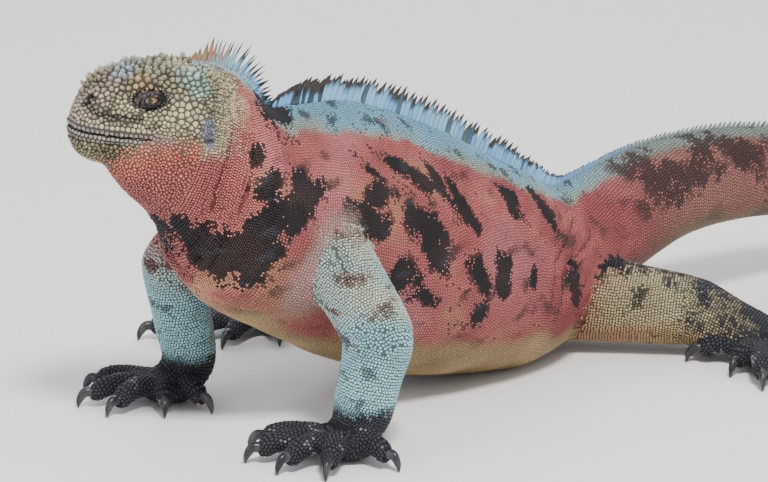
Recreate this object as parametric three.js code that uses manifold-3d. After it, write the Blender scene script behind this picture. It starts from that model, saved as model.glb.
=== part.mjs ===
// A marine iguana, adult male, standing on straight front legs with its belly and the end of its tail on
// the ground: a still, life-size model. Millimetres, +Z up, head towards -X, its left side towards -Y.
// Every body part is its own closed mesh, parted from its neighbours by a thin gap.
import * as THREE from "three";
import { mergeVertices } from "three/addons/utils/BufferGeometryUtils.js";
import Module from "manifold-3d";

const wasm = await Module();
wasm.setup();

// Driving sizes
const GAP = 0.3; // between two parts that touch
const SLIVER = 0.08; // edges finer than this, left by cutting, are closed up
const TRUNK_SIDES = 24;
const SKULL_SIDES = 20;
const SKULL_RINGS = 13;
const LIMB_SIDES = 12;
const TOE_SIDES = 6;
const TOE_RINGS = 4;
const CLAW_SIDES = 5;
const CLAW_RINGS = 3;
const EYE_RADIUS = 4.6;
const FLOOR = 0;

// Colours of the parts, as on a breeding male
const COLOURS = {
  head: 0x9a947c,
  rose: 0xb5625c,
  teal: 0x8fb8b0,
  slate: 0x2f323b,
  sage: 0x9a9c7e,
  dusk: 0x7b5550,
  horn: 0x41454e,
  eye: 0x6b4a2c,
};

const vec = ([x, y, z]) => new THREE.Vector3(x, y, z);
const lerp = THREE.MathUtils.lerp;

// A fixed stream of numbers from 0 to 1, so that every build is the same
function seeded(seed) {
  let state = seed >>> 0;
  return () => {
    state = (Math.imul(state, 1664525) + 1013904223) >>> 0;
    return state / 4294967296;
  };
}

// Solids: geometry to manifold, back again, joined and cut
function solidOf(geometry) {
  const bare = geometry.clone();
  bare.deleteAttribute("normal");
  bare.deleteAttribute("uv");
  const merged = mergeVertices(bare, 1e-4);
  return new wasm.Manifold(
    new wasm.Mesh({
      numProp: 3,
      vertProperties: new Float32Array(merged.attributes.position.array),
      triVerts: new Uint32Array(merged.index.array),
    }),
  );
}

function geometryOf(solid) {
  const mesh = solid.getMesh();
  const geometry = new THREE.BufferGeometry();
  geometry.setAttribute("position", new THREE.BufferAttribute(new Float32Array(mesh.vertProperties), 3));
  geometry.setIndex(new THREE.BufferAttribute(new Uint32Array(mesh.triVerts), 1));
  geometry.computeVertexNormals();
  return geometry;
}

const joined = (solids) => solids.reduce((whole, solid) => whole.add(solid));

const largest = (solid) =>
  solid
    .simplify(SLIVER)
    .decompose()
    .reduce((best, one) => (one.volume() > best.volume() ? one : best));

const aboveFloor = (solid) => solid.trimByPlane([0, 0, 1], FLOOR);

// A closed tube through rings: ringAt(t) gives { centre, side, up, outline(angle) } for t from 0 to 1
function tube(ringAt, sides, rings) {
  const geometry = new THREE.CylinderGeometry(1, 1, 1, sides, rings, false);
  const position = geometry.attributes.position;
  for (let i = 0; i < position.count; i++) {
    const t = position.getY(i) + 0.5;
    const radius = Math.hypot(position.getX(i), position.getZ(i));
    const angle = Math.atan2(position.getX(i), position.getZ(i));
    const ring = ringAt(t);
    const [across, rise] = ring.outline(angle);
    const place = ring.centre
      .clone()
      .addScaledVector(ring.side, radius * across)
      .addScaledVector(ring.up, radius * rise);
    position.setXYZ(i, place.x, place.y, place.z);
  }
  return geometry;
}

function outward(geometry) {
  const solid = solidOf(geometry);
  if (solid.volume() > 0) return solid;
  const index = geometry.index.array;
  for (let i = 0; i < index.length; i += 3) [index[i], index[i + 1]] = [index[i + 1], index[i]];
  return solidOf(geometry);
}

// The body, from throat to tail tip. Each station is a cut through the body:
// top x, y, z; bottom x, y, z; half width; height of the widest place as a share; top and bottom peakedness
const BODY = [
  [-64.0, 13.0, 186.0, -97.0, 29.0, 154.5, 8.0, 0.4, 1.0, 1.0],
  [-61.0, 11.0, 188.0, -93.5, 24.5, 144.0, 17.0, 0.42, 1.0, 1.0],
  [-57.0, 9.0, 191.0, -87.5, 18.5, 133.0, 24.0, 0.45, 0.95, 0.95],
  [-50.0, 7.0, 194.5, -78.5, 12.5, 122.5, 28.0, 0.48, 0.95, 0.95],
  [-41.0, 5.0, 193.5, -70.5, 8.0, 108.5, 31.0, 0.5, 1.1, 0.95],
  [-29.0, 3.0, 187.5, -65.5, 4.0, 91.5, 33.0, 0.5, 1.3, 0.95],
  [-18.5, 1.5, 177.0, -56.0, 1.5, 78.5, 34.0, 0.46, 1.4, 0.95],
  [-8.0, 0.5, 167.0, -43.5, 0.0, 67.0, 38.0, 0.44, 1.5, 0.9],
  [8.0, 0.0, 165.5, -25.0, 0.0, 57.0, 43.0, 0.42, 1.55, 0.85],
  [28.0, 0.0, 163.5, 3.0, 0.0, 42.0, 48.0, 0.4, 1.6, 0.82],
  [52.0, 0.0, 158.5, 33.0, 0.0, 25.5, 53.0, 0.39, 1.6, 0.8],
  [86.0, 0.0, 147.0, 73.0, 0.0, 10.5, 58.0, 0.39, 1.6, 0.8],
  [124.0, 0.0, 129.0, 119.0, 0.0, 1.5, 58.0, 0.39, 1.55, 0.8],
  [162.0, 0.0, 109.0, 160.0, 0.0, -1.0, 51.0, 0.4, 1.5, 0.8],
  [186.0, 0.0, 96.5, 190.0, 0.0, 2.0, 42.0, 0.43, 1.45, 0.82],
  [206.0, 0.0, 88.5, 214.0, 0.0, 9.0, 35.0, 0.45, 1.4, 0.85],
  [232.0, -1.0, 92.5, 240.0, -1.0, 22.0, 29.5, 0.46, 1.35, 0.9],
  [260.0, -2.0, 97.5, 268.0, -2.0, 32.5, 26.0, 0.46, 1.3, 0.95],
  [300.0, -4.0, 99.5, 304.0, -4.0, 42.0, 23.0, 0.46, 1.3, 1.0],
  [345.0, -7.0, 97.5, 346.0, -7.0, 43.5, 20.0, 0.45, 1.3, 1.0],
  [392.0, -12.0, 90.0, 388.0, -12.0, 39.5, 17.5, 0.45, 1.3, 1.0],
  [436.0, -20.0, 77.0, 429.0, -20.0, 30.5, 15.5, 0.45, 1.3, 1.0],
  [478.0, -30.0, 61.0, 470.0, -30.0, 20.0, 13.5, 0.45, 1.3, 1.0],
  [518.0, -37.0, 46.0, 511.0, -37.0, 9.0, 12.0, 0.45, 1.3, 1.0],
  [557.0, -38.0, 35.0, 553.0, -38.0, 1.0, 10.5, 0.45, 1.3, 0.9],
  [596.0, -31.0, 28.0, 594.0, -31.0, -1.0, 9.2, 0.45, 1.3, 0.85],
  [634.0, -17.0, 23.0, 633.0, -17.0, -1.0, 7.8, 0.45, 1.2, 0.85],
  [670.0, 1.0, 18.5, 669.0, 1.0, -1.0, 6.4, 0.45, 1.2, 0.9],
  [703.0, 19.0, 14.0, 702.0, 19.0, -0.8, 5.0, 0.45, 1.1, 0.9],
  [732.0, 33.0, 9.5, 731.5, 33.0, -0.6, 3.6, 0.45, 1.0, 1.0],
  [755.0, 41.0, 4.0, 755.0, 41.0, 0.2, 1.4, 0.5, 1.0, 1.0],
];

// Where the crest begins and the body is cut into parts, as station numbers
const NAPE_CREST = 2.3;
const NECK_END = 8;
const TRUNK_END = 15.2;

const LAST = BODY.length - 1;
const smooth = (points) => new THREE.CatmullRomCurve3(points, false, "catmullrom", 0.5);
const curveOf = (pick) => smooth(BODY.map((row) => vec(pick(row))));
const TOP_LINE = curveOf((row) => row.slice(0, 3));
const BOTTOM_LINE = curveOf((row) => row.slice(3, 6));
const FULLNESS = curveOf((row) => [row[6], row[7], 0]);
const PEAKEDNESS = curveOf((row) => [row[8], row[9], 0]);

// One cut through the body at station number s, grown outwards by grow
function bodyRing(s, grow = 0) {
  const t = THREE.MathUtils.clamp(s / LAST, 0, 1);
  const top = TOP_LINE.getPoint(t);
  const bottom = BOTTOM_LINE.getPoint(t);
  const [width, share] = FULLNESS.getPoint(t).toArray();
  const [peakTop, peakBottom] = PEAKEDNESS.getPoint(t).toArray();
  const up = top.clone().sub(bottom);
  const height = up.length();
  up.normalize();
  const along = TOP_LINE.getTangent(t).add(BOTTOM_LINE.getTangent(t));
  const side = up.clone().cross(along).normalize();
  const centre = bottom.clone().addScaledVector(up, share * height);
  const outline = (angle) => {
    const c = Math.cos(angle);
    const s1 = Math.sin(angle);
    const across = Math.sign(c) * (width + grow) * Math.abs(c) ** (s1 > 0 ? peakTop : peakBottom);
    const rise = s1 * ((s1 > 0 ? 1 - share : share) * height + grow);
    return [across, rise];
  };
  return { centre, side, up, outline, top };
}

// The body from one station to another, stopping half a gap short of each cut
function bodyLength(from, to, rings, grow = 0) {
  const NEAR = 0.02;
  const step = (s) => bodyRing(s + NEAR).centre.distanceTo(bodyRing(s - NEAR).centre) / (2 * NEAR);
  const start = from <= 0 ? 0 : from + (GAP / 2 - grow) / step(from);
  const end = to >= LAST ? LAST : to - (GAP / 2 - grow) / step(to);
  return outward(tube((t) => bodyRing(lerp(start, end, t), grow), TRUNK_SIDES, rings));
}

// A limb, toe or claw: a tube through points, each with a half width and a half height
function limb(points, sizes, sides, rings, grow = 0, upright = [0, 0, 1]) {
  const path = smooth(points.map(vec));
  const girth = smooth(sizes.map(([a, b]) => new THREE.Vector3(a, b, 0)));
  return outward(
    tube(
      (t) => {
        const along = path.getTangent(t);
        const centre = path.getPoint(t);
        if (t === 0) centre.addScaledVector(along, -grow);
        if (t === 1) centre.addScaledVector(along, grow);
        const side = vec(upright).cross(along).normalize();
        const up = along.clone().cross(side).normalize();
        const size = girth.getPoint(t);
        return {
          centre,
          side,
          up,
          outline: (angle) => [Math.cos(angle) * (size.x + grow), Math.sin(angle) * (size.y + grow)],
        };
      },
      sides,
      rings,
    ),
  );
}

const ball = (centre, [a, b, c], across, down, turn = 0) =>
  solidOf(
    new THREE.SphereGeometry(1, across, down)
      .scale(a, b, c)
      .rotateZ(turn)
      .translate(...centre),
  );

// Crest spines: flat cones that lean back, set in a loop along the top line.
// The crest at its stations: station number, height, lean back from upright in degrees
const CREST = [
  [2.3, 4.0, -6],
  [3.0, 6.5, 2],
  [3.5, 9.5, 8],
  [4.0, 12.5, 11],
  [4.5, 15.0, 20],
  [5.0, 15.5, 35],
  [5.5, 14.0, 46],
  [6.0, 11.5, 62],
  [6.5, 9.0, 70],
  [7.0, 6.0, 60],
  [7.5, 9.0, 22],
  [8.3, 12.5, 14],
  [9.2, 13.5, 14],
  [11.0, 13.5, 16],
  [12.5, 12.5, 20],
  [13.5, 10.0, 24],
  [14.6, 6.0, 22],
  [15.1, 4.5, 18],
  [20.0, 3.8, 24],
  [30.0, 1.6, 30],
];
const SPINE_SINK = 3.2; // how far a spine's root goes into the back
const SPINE_FLATNESS = 0.55;
const SPINE_BEND = 0.3;

function crestAt(s) {
  const next = Math.max(1, CREST.findIndex((row) => row[0] >= s));
  const [from, to] = [CREST[next - 1], CREST[next]];
  const share = THREE.MathUtils.clamp((s - from[0]) / (to[0] - from[0]), 0, 1);
  return { height: lerp(from[1], to[1], share), lean: THREE.MathUtils.degToRad(lerp(from[2], to[2], share)) };
}

function spine(root, up, back, length, width) {
  const total = length + SPINE_SINK;
  const cone = new THREE.ConeGeometry(width, total, 4, 2).translate(0, total / 2 - SPINE_SINK, 0);
  const position = cone.attributes.position;
  for (let i = 0; i < position.count; i++) {
    const rise = position.getY(i);
    const bend = rise > 0 ? (rise / length) ** 1.6 * length * SPINE_BEND : 0;
    position.setXYZ(i, position.getX(i) + bend, rise, position.getZ(i) * SPINE_FLATNESS);
  }
  const side = back.clone().cross(up).normalize();
  const along = up.clone().cross(side).normalize();
  cone.applyMatrix4(new THREE.Matrix4().makeBasis(along, up, side).setPosition(root));
  return outward(cone);
}

function crest(from, to, count, width, seed) {
  const random = seeded(seed);
  return Array.from({ length: count }, (_, i) => {
    const s = lerp(from, to, (i + 0.5) / count);
    const back = bodyRing(s + 0.1).top.sub(bodyRing(s - 0.1).top).normalize();
    const level = back.clone().setZ(0).normalize();
    const { height, lean } = crestAt(s);
    const up = new THREE.Vector3(0, 0, Math.cos(lean)).addScaledVector(level, Math.sin(lean));
    const length = height * lerp(0.82, 1.12, random());
    return spine(bodyRing(s).top, up, back, length, width * lerp(0.85, 1.1, random()));
  });
}

// The skull, turned to the animal's right. Each station, seen from behind the head:
// distance forward; top; bottom; half width; height of the widest place as a share; top and bottom peakedness
const HEAD_PLACE = [-53, 5, 168];
const HEAD_TURN = THREE.MathUtils.degToRad(150);
const SKULL = [
  [-22.0, 16.0, -26.0, 10.0, 0.45, 1.0, 1.0],
  [-10.0, 24.5, -29.0, 23.5, 0.42, 0.9, 0.9],
  [1.0, 27.5, -27.0, 28.5, 0.42, 0.8, 0.85],
  [12.0, 28.3, -24.5, 27.5, 0.42, 0.78, 0.8],
  [24.0, 29.5, -22.5, 24.5, 0.46, 0.72, 0.8],
  [36.0, 28.0, -21.5, 21.5, 0.46, 0.74, 0.8],
  [46.0, 24.5, -20.5, 18.5, 0.46, 0.78, 0.8],
  [54.0, 18.5, -18.5, 15.0, 0.45, 0.82, 0.85],
  [59.3, 12.0, -15.0, 11.0, 0.5, 0.9, 0.9],
  [62.4, 4.5, -10.0, 6.5, 0.5, 1.0, 1.0],
  [63.4, -0.5, -5.0, 2.0, 0.5, 1.0, 1.0],
];
const SNOUT = SKULL.length - 1;
const skullCurve = (pick) => smooth(SKULL.map((row) => vec(pick(row))));
const SKULL_RISE = skullCurve((row) => row.slice(0, 3));
const SKULL_WIDTH = skullCurve((row) => row.slice(3, 6));
const SKULL_SHAPE = skullCurve((row) => [row[6], 0, 0]);

const EYE_STATION = 4.2;
const EYE_HEIGHT = 14.6;
const EYE_LATERAL = 20.6;
const LID_DEPTH = 1.4; // of the lids over the eyeball
const LIP_RADIUS = 1.8;
const MOUTH_SLIT = [1.6, 0.5]; // half depth, half height
const EYE_SLIT = [4.6, 3.4, 2.4]; // half length, depth and height of the opening between the lids
const NOSTRIL = { station: 7, height: 14, lift: -0.5, radii: [1.9, 1.8, 1.7] };
const EAR = { station: 1.85, height: -2, lift: 1.2, radii: [2.8, 2.6, 5.6] };
const KNOB_SINK = 1.4;
const KNOB_HEIGHT = 3.5;
const KNOB_RADIUS = 3.0;

// Head coordinates: forward, to the left, up
function inHead(forward, left, up) {
  const c = Math.cos(HEAD_TURN);
  const s = Math.sin(HEAD_TURN);
  return vec(HEAD_PLACE).add(new THREE.Vector3(forward * c - left * s, forward * s + left * c, up));
}

function skullRing(s, grow = 0) {
  const t = THREE.MathUtils.clamp(s / SNOUT, 0, 1);
  const [forward, top, bottom] = SKULL_RISE.getPoint(t).toArray();
  const [width, share, peakTop] = SKULL_WIDTH.getPoint(t).toArray();
  const peakBottom = SKULL_SHAPE.getPoint(t).x;
  const waist = lerp(bottom, top, share);
  return {
    centre: inHead(forward, 0, waist),
    side: inHead(0, 1, 0).sub(vec(HEAD_PLACE)),
    up: new THREE.Vector3(0, 0, 1),
    forward,
    outline: (angle) => {
      const c = Math.cos(angle);
      const s1 = Math.sin(angle);
      const peak = s1 > 0 ? peakTop : peakBottom;
      const across = Math.sign(c) * (width + grow) * Math.abs(c) ** peak;
      return [across, s1 * ((s1 > 0 ? top - waist : waist - bottom) + grow)];
    },
    waist,
  };
}

// A place on the skull: station number, angle from its left side up over the crown, and distance outwards
function onSkull(s, angle, lift = 0) {
  const ring = skullRing(s);
  const [across, rise] = ring.outline(angle);
  const out = ring.side.clone().multiplyScalar(across).addScaledVector(ring.up, rise);
  return ring.centre.clone().add(out).addScaledVector(out.normalize(), lift);
}

// The angle at which the skull's left side has a given height
function angleAt(s, height) {
  const ring = skullRing(s);
  const reach = ring.outline(height > ring.waist ? Math.PI / 2 : -Math.PI / 2)[1];
  return Math.asin(THREE.MathUtils.clamp((height - ring.waist) / Math.abs(reach), -1, 1));
}

const mirrored = (angle) => Math.PI - angle;
const eyeCentre = (side) => inHead(lerp(24, 36, EYE_STATION - 4), side * EYE_LATERAL, EYE_HEIGHT);
const headOut = (side) => inHead(0, side, 0).sub(vec(HEAD_PLACE));

// The line where the lips meet, from the left corner round the snout to the right corner
const MOUTH = { corner: 3.4, end: SNOUT - 0.35, cornerHeight: -7.5, endHeight: -0.5, noseHeight: -0.6 };

function mouthLine(lift, drop) {
  const STEPS = 10;
  const heightAt = (share) => lerp(MOUTH.cornerHeight, MOUTH.endHeight, share ** 0.6) + drop;
  const place = (share, side) => {
    const s = lerp(MOUTH.corner, MOUTH.end, share);
    const angle = angleAt(s, heightAt(share));
    return onSkull(s, side > 0 ? angle : mirrored(angle), lift).toArray();
  };
  const left = Array.from({ length: STEPS }, (_, i) => place(i / (STEPS - 1), 1));
  const right = Array.from({ length: STEPS }, (_, i) => place(1 - i / (STEPS - 1), -1));
  return [...left, inHead(SKULL[SNOUT][0] + lift, 0, MOUTH.noseHeight + drop).toArray(), ...right];
}

// The blunt tubercles of brow, crown and snout, in a loop along the skull and across it
function headKnobs() {
  const random = seeded(11);
  const knobs = [];
  for (let s = 1.4; s < SNOUT - 1.6; s += 0.8) {
    for (const share of [0.32, 0.44, 0.56, 0.68]) {
      const angle = Math.PI * (share + 0.05 * (random() - 0.5));
      const root = onSkull(s + 0.25 * (random() - 0.5), angle, -KNOB_SINK);
      const out = onSkull(s, angle, 5).sub(onSkull(s, angle, 0)).normalize();
      const height = KNOB_HEIGHT * lerp(0.75, 1.1, random());
      const knob = new THREE.ConeGeometry(KNOB_RADIUS, height, 4, 1).translate(0, height / 2, 0);
      knob.applyQuaternion(new THREE.Quaternion().setFromUnitVectors(new THREE.Vector3(0, 1, 0), out));
      knobs.push(solidOf(knob.translate(...root.toArray())));
    }
  }
  return knobs;
}

// Head and neck are modelled whole, then parted by a plane behind the ears
function headAndNeck() {
  const skull = outward(tube((t) => skullRing(lerp(0, SNOUT, t)), SKULL_SIDES, SKULL_RINGS));
  const lips = [[-0.9, 1.9], [-1.0, -2.3]].map(([lift, drop]) => {
    const line = mouthLine(lift, drop);
    return limb(line, line.map(() => [LIP_RADIUS, LIP_RADIUS]), 5, 18);
  });
  const lids = [1, -1].map((side) => {
    const lid = EYE_RADIUS + LID_DEPTH;
    return ball(eyeCentre(side).toArray(), [lid * 1.3, lid, lid], 10, 6, HEAD_TURN);
  });
  const crestSpines = crest(NAPE_CREST, NECK_END - 0.1, 28, 1.9, 21);
  let whole = joined([bodyLength(0, NECK_END, 9), skull, ...lips, ...lids, ...headKnobs(), ...crestSpines]);

  const mouth = mouthLine(0.9, -0.2);
  whole = whole.subtract(limb(mouth, mouth.map(() => MOUTH_SLIT), 4, 18));
  const sideAngle = ({ station, height }, side) =>
    side > 0 ? angleAt(station, height) : mirrored(angleAt(station, height));
  for (const side of [1, -1]) {
    const centre = eyeCentre(side);
    const opening = centre.clone().addScaledVector(headOut(side), EYE_RADIUS + 0.8);
    const nostril = onSkull(NOSTRIL.station, sideAngle(NOSTRIL, side), NOSTRIL.lift);
    const ear = onSkull(EAR.station, sideAngle(EAR, side), EAR.lift);
    whole = whole
      .subtract(ball(centre.toArray(), Array(3).fill(EYE_RADIUS + GAP), 12, 8))
      .subtract(ball(opening.toArray(), EYE_SLIT, 10, 6, HEAD_TURN))
      .subtract(ball(nostril.toArray(), NOSTRIL.radii, 8, 6))
      .subtract(ball(ear.toArray(), EAR.radii, 10, 6, HEAD_TURN));
  }

  // The plane leans forward at its top and passes just behind the crown
  const front = inHead(0.97, 0, 0.245).sub(vec(HEAD_PLACE)).normalize();
  const level = front.dot(inHead(-13, 0, 30));
  const head = whole.trimByPlane(front.toArray(), level + GAP / 2);
  const neck = whole.trimByPlane(front.clone().negate().toArray(), -(level - GAP / 2));
  return [largest(head), largest(neck)];
}

// Limbs: joints, girths and how far the upper part arches over its straight line; claw tips on the ground
const LIMBS = {
  left_arm: {
    names: ["left_upper_arm", "left_forearm", "left_hand"],
    root: [6, -22, 100],
    hinge: [-2, -74, 60],
    ankle: [-12, -70, 20],
    palm: [-22, -68, 8.5],
    arch: 2,
    rootSize: [20, 21],
    hingeSize: [17, 17],
    ankleSize: [16, 12.5],
    palmSize: [15, 19, 9],
    digits: [[-47, -26], [-64, -41], [-66, -66], [-56, -90], [-20, -105]],
    toeRadius: 5.0,
    clawLength: 13,
  },
  right_arm: {
    names: ["right_upper_arm", "right_forearm", "right_hand"],
    root: [8, 22, 100],
    hinge: [-17, 62, 76],
    ankle: [-8, 62, 20],
    palm: [-20, 66, 8.5],
    arch: 2,
    rootSize: [20, 21],
    hingeSize: [17, 17],
    ankleSize: [15, 12.5],
    palmSize: [15, 19, 9],
    digits: [[-21, 30], [-43, 42], [-63, 64], [-62, 88], [-41, 107]],
    toeRadius: 5.0,
    clawLength: 13,
  },
  left_leg: {
    names: ["left_thigh", "left_shank", "left_foot"],
    root: [194, -8, 33],
    hinge: [240, -70, 23.5],
    ankle: [256, -110, 12.5],
    palm: [250, -110, 8.4],
    arch: -1,
    rootSize: [30, 28],
    hingeSize: [18.5, 18.5],
    ankleSize: [9.5, 13],
    palmSize: [17, 22, 9],
    digits: [[224, -81], [218, -117], [211, -145], [226, -172], [272, -158]],
    toeRadius: 5.0,
    clawLength: 14,
  },
  right_leg: {
    names: ["right_thigh", "right_shank", "right_foot"],
    root: [196, 14, 50],
    hinge: [156, 80, 42],
    ankle: [134, 122, 20],
    palm: [112, 124, 8.4],
    arch: 2,
    rootSize: [26, 29],
    hingeSize: [18, 19],
    ankleSize: [12, 12],
    palmSize: [18, 16, 9],
    digits: [[88, 94], [62, 112], [44, 134], [42, 158], [96, 164]],
    toeRadius: 5.0,
    clawLength: 14,
  },
};

const CLAW_SHARE = 0.58; // of a claw's length lies beyond its toe, seen from above

// The middle lines of a toe and its claw, from the palm to the claw tip on the ground
function toePath(member, [x, y]) {
  const palm = vec(member.palm);
  const out = new THREE.Vector3(x - palm.x, y - palm.y, 0);
  const reach = out.length();
  out.normalize();
  const claw = member.clawLength * CLAW_SHARE;
  const at = (distance, z) => palm.clone().addScaledVector(out, distance).setZ(z).toArray();
  const end = reach - claw;
  return {
    toe: [at(3, 9), at(end * 0.5, 11.5), at(end * 0.8, 10.5), at(end - 2, 7.4), at(end + 1.5, 6)],
    claw: [at(end - 1, 8), at(end + claw * 0.5, 8.2), at(end + claw * 0.9, 4.2), [x, y, 0.4]],
  };
}

const toeSizes = (radius) => [
  [radius * 2.1, radius * 1.3],
  [radius * 1.3, radius * 1.15],
  [radius * 1.1, radius * 1.1],
  [radius, radius],
  [radius * 0.6, radius * 0.6],
];

const CLAW_SIZES = [[2.5, 2.6], [2.1, 2.4], [1.3, 1.5], [0.35, 0.4]];
const WRIST_SIZE = [11, 6]; // where the forearm or shank runs out in its hand or foot
const CUFF_SHARE = 0.86; // of the way from hinge to ankle, where hand or foot is parted off

// Upper part, lower part, and hand or foot, cut clear of the trunk
function limbSolids(member, trunk) {
  const { root, hinge, ankle, palm, arch, rootSize, hingeSize, ankleSize, palmSize } = member;
  const blend = (a, b, share) => a.map((value, i) => lerp(value, b[i], share));
  const middle = (a, b, share, lift = 0) => {
    const [x, y, z] = blend(a, b, share);
    return [x, y, z + lift];
  };
  const upper = limb(
    [root, middle(root, hinge, 0.5, arch), hinge, middle(hinge, root, -0.2)],
    [rootSize, blend(rootSize, hingeSize, 0.6), hingeSize, hingeSize.map((r) => r * 0.6)],
    LIMB_SIDES,
    6,
  );
  const lower = limb(
    [middle(hinge, ankle, -0.22), hinge, middle(hinge, ankle, 0.5), ankle, middle(ankle, palm, 0.9)],
    [hingeSize.map((r) => r * 0.6), hingeSize, blend(hingeSize, ankleSize, 0.45), ankleSize, WRIST_SIZE],
    LIMB_SIDES,
    8,
    0,
    [1, 0, 0.2],
  );
  const pad = ball(palm, palmSize, 12, 6);
  const girths = toeSizes(member.toeRadius);
  const toes = member.digits.map((digit) => limb(toePath(member, digit).toe, girths, TOE_SIDES, TOE_RINGS));
  const whole = aboveFloor(joined([upper, lower, pad, ...toes]));

  // The planes that part the limb at its hinge and above its hand or foot
  const towards = (a, b) => vec(b).sub(vec(a)).normalize();
  const bisector = towards(root, hinge).add(towards(hinge, ankle)).normalize();
  const hingeLevel = bisector.dot(vec(hinge));
  const cuff = towards(hinge, ankle);
  const cuffLevel = cuff.dot(vec(middle(hinge, ankle, CUFF_SHARE)));
  const flip = (v) => v.clone().negate();
  const first = whole.trimByPlane(flip(bisector).toArray(), -(hingeLevel - GAP / 2));
  const rest = whole.trimByPlane(bisector.toArray(), hingeLevel + GAP / 2);
  const second = rest.trimByPlane(flip(cuff).toArray(), -(cuffLevel - GAP / 2));
  const third = rest.trimByPlane(cuff.toArray(), cuffLevel + GAP / 2);

  // A folded leg lies over its own toes, so room is left for them
  const toeRoom = joined(
    member.digits.flatMap((digit) => {
      const { toe, claw } = toePath(member, digit);
      return [
        limb(toe, toeSizes(member.toeRadius), TOE_SIDES, TOE_RINGS, GAP),
        limb(claw, CLAW_SIZES, CLAW_SIDES, CLAW_RINGS, GAP),
      ];
    }),
  );
  return [largest(first.subtract(trunk).subtract(toeRoom)), largest(second.subtract(trunk)), largest(third)];
}

// A claw, cut clear of its toe
function clawSolid(member, digit) {
  const { toe, claw } = toePath(member, digit);
  const horn = limb(claw, CLAW_SIZES, CLAW_SIDES, CLAW_RINGS);
  const socket = limb(toe, toeSizes(member.toeRadius), TOE_SIDES, TOE_RINGS, GAP);
  return largest(aboveFloor(horn).subtract(socket));
}

// The whole animal
const iguana = new THREE.Group();
iguana.name = "marine_iguana";

const HIDE_ROUGHNESS = 0.75;
const HORN_ROUGHNESS = 0.5;
const EYE_ROUGHNESS = 0.15;

function addPart(name, solid, colour, roughness = HIDE_ROUGHNESS) {
  const material = new THREE.MeshStandardMaterial({ color: colour, roughness, metalness: 0 });
  const mesh = new THREE.Mesh(geometryOf(solid), material);
  mesh.name = name;
  iguana.add(mesh);
}

const [head, neck] = headAndNeck();
addPart("head", head, COLOURS.head);
addPart("neck", neck, COLOURS.rose);

const eyeShape = new THREE.SphereGeometry(EYE_RADIUS, 12, 8);
const glossy = { color: COLOURS.eye, roughness: EYE_ROUGHNESS, metalness: 0 };
for (const [name, side] of [["left_eye", 1], ["right_eye", -1]]) {
  const eye = new THREE.Mesh(eyeShape, new THREE.MeshStandardMaterial(glossy));
  eye.name = name;
  eye.position.copy(eyeCentre(side));
  iguana.add(eye);
}

const torso = joined([
  bodyLength(NECK_END, TRUNK_END, 11),
  ...crest(NECK_END + 0.1, TRUNK_END - 0.1, 38, 1.9, 31),
]);
addPart("torso", largest(aboveFloor(torso)), COLOURS.rose);

const TAIL_CUTS = [TRUNK_END, 17.6, 20, 22.6, 26, LAST];
const TAIL_SPINES = [13, 17, 15, 15, 14];
const LAST_SPINE = LAST - 0.6;
for (let i = 0; i < TAIL_CUTS.length - 1; i++) {
  const [from, to] = [TAIL_CUTS[i], TAIL_CUTS[i + 1]];
  const length = joined([
    bodyLength(from, to, 7),
    ...crest(from + 0.06, Math.min(to - 0.06, LAST_SPINE), TAIL_SPINES[i], 1.3 - 0.12 * i, 41 + i),
  ]);
  addPart(`tail_${i + 1}`, largest(aboveFloor(length)), COLOURS.dusk);
}

// The limbs stop a gap short of the body, so they are cut by a body grown by that gap
const wholeTrunk = joined([
  bodyLength(0, NECK_END, 9, GAP),
  bodyLength(NECK_END, TRUNK_END, 11, GAP),
  bodyLength(TRUNK_END, TAIL_CUTS[1], 7, GAP),
]);
const LIMB_COLOURS = {
  arm: [COLOURS.teal, COLOURS.teal, COLOURS.slate],
  leg: [COLOURS.sage, COLOURS.slate, COLOURS.slate],
};
for (const [key, member] of Object.entries(LIMBS)) {
  const colours = LIMB_COLOURS[key.split("_")[1]];
  limbSolids(member, wholeTrunk).forEach((solid, i) => addPart(member.names[i], solid, colours[i]));
  member.digits.forEach((digit, i) => {
    const claw = clawSolid(member, digit);
    addPart(`${member.names[2]}_claw_${i + 1}`, claw, COLOURS.horn, HORN_ROUGHNESS);
  });
}

// The origin is on the ground, at the middle of the whole animal's length and width
const box = new THREE.Box3().setFromObject(iguana);
const middle = box.getCenter(new THREE.Vector3());
iguana.position.set(-middle.x, -middle.y, -box.min.z);

export default iguana;
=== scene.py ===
"""A life-size marine iguana, adult male, on straight front legs with its belly and tail end on the ground.

Metres throughout. Body coordinates have x = 0 at the shoulders, the head towards -x, the animal's left side
towards -y and the ground at z = 0. BODY_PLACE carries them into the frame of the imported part.
"""
import math

import bmesh
import bpy
import numpy as np
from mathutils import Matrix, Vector, kdtree
from mathutils.bvhtree import BVHTree


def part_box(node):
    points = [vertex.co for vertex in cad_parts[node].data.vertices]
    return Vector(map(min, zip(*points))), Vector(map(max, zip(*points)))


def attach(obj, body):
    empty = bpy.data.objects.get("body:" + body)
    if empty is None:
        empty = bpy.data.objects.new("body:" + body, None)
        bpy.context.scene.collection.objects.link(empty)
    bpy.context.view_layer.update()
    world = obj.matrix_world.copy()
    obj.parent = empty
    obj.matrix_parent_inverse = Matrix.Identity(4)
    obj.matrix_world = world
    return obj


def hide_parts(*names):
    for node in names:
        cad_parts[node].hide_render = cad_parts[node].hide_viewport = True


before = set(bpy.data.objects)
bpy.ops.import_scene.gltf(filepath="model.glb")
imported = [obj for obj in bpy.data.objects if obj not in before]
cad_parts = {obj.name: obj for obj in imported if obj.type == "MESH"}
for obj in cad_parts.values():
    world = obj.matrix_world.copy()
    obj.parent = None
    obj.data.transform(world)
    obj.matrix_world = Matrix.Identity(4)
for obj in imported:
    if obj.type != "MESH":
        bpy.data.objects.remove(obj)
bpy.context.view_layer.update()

# Camera, floor and light: a long lens from the animal's left front, a pale floor, and three softboxes, of
# which the one high on the left is the strongest.
camera_lens = bpy.data.cameras.new("photo_lens")
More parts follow.
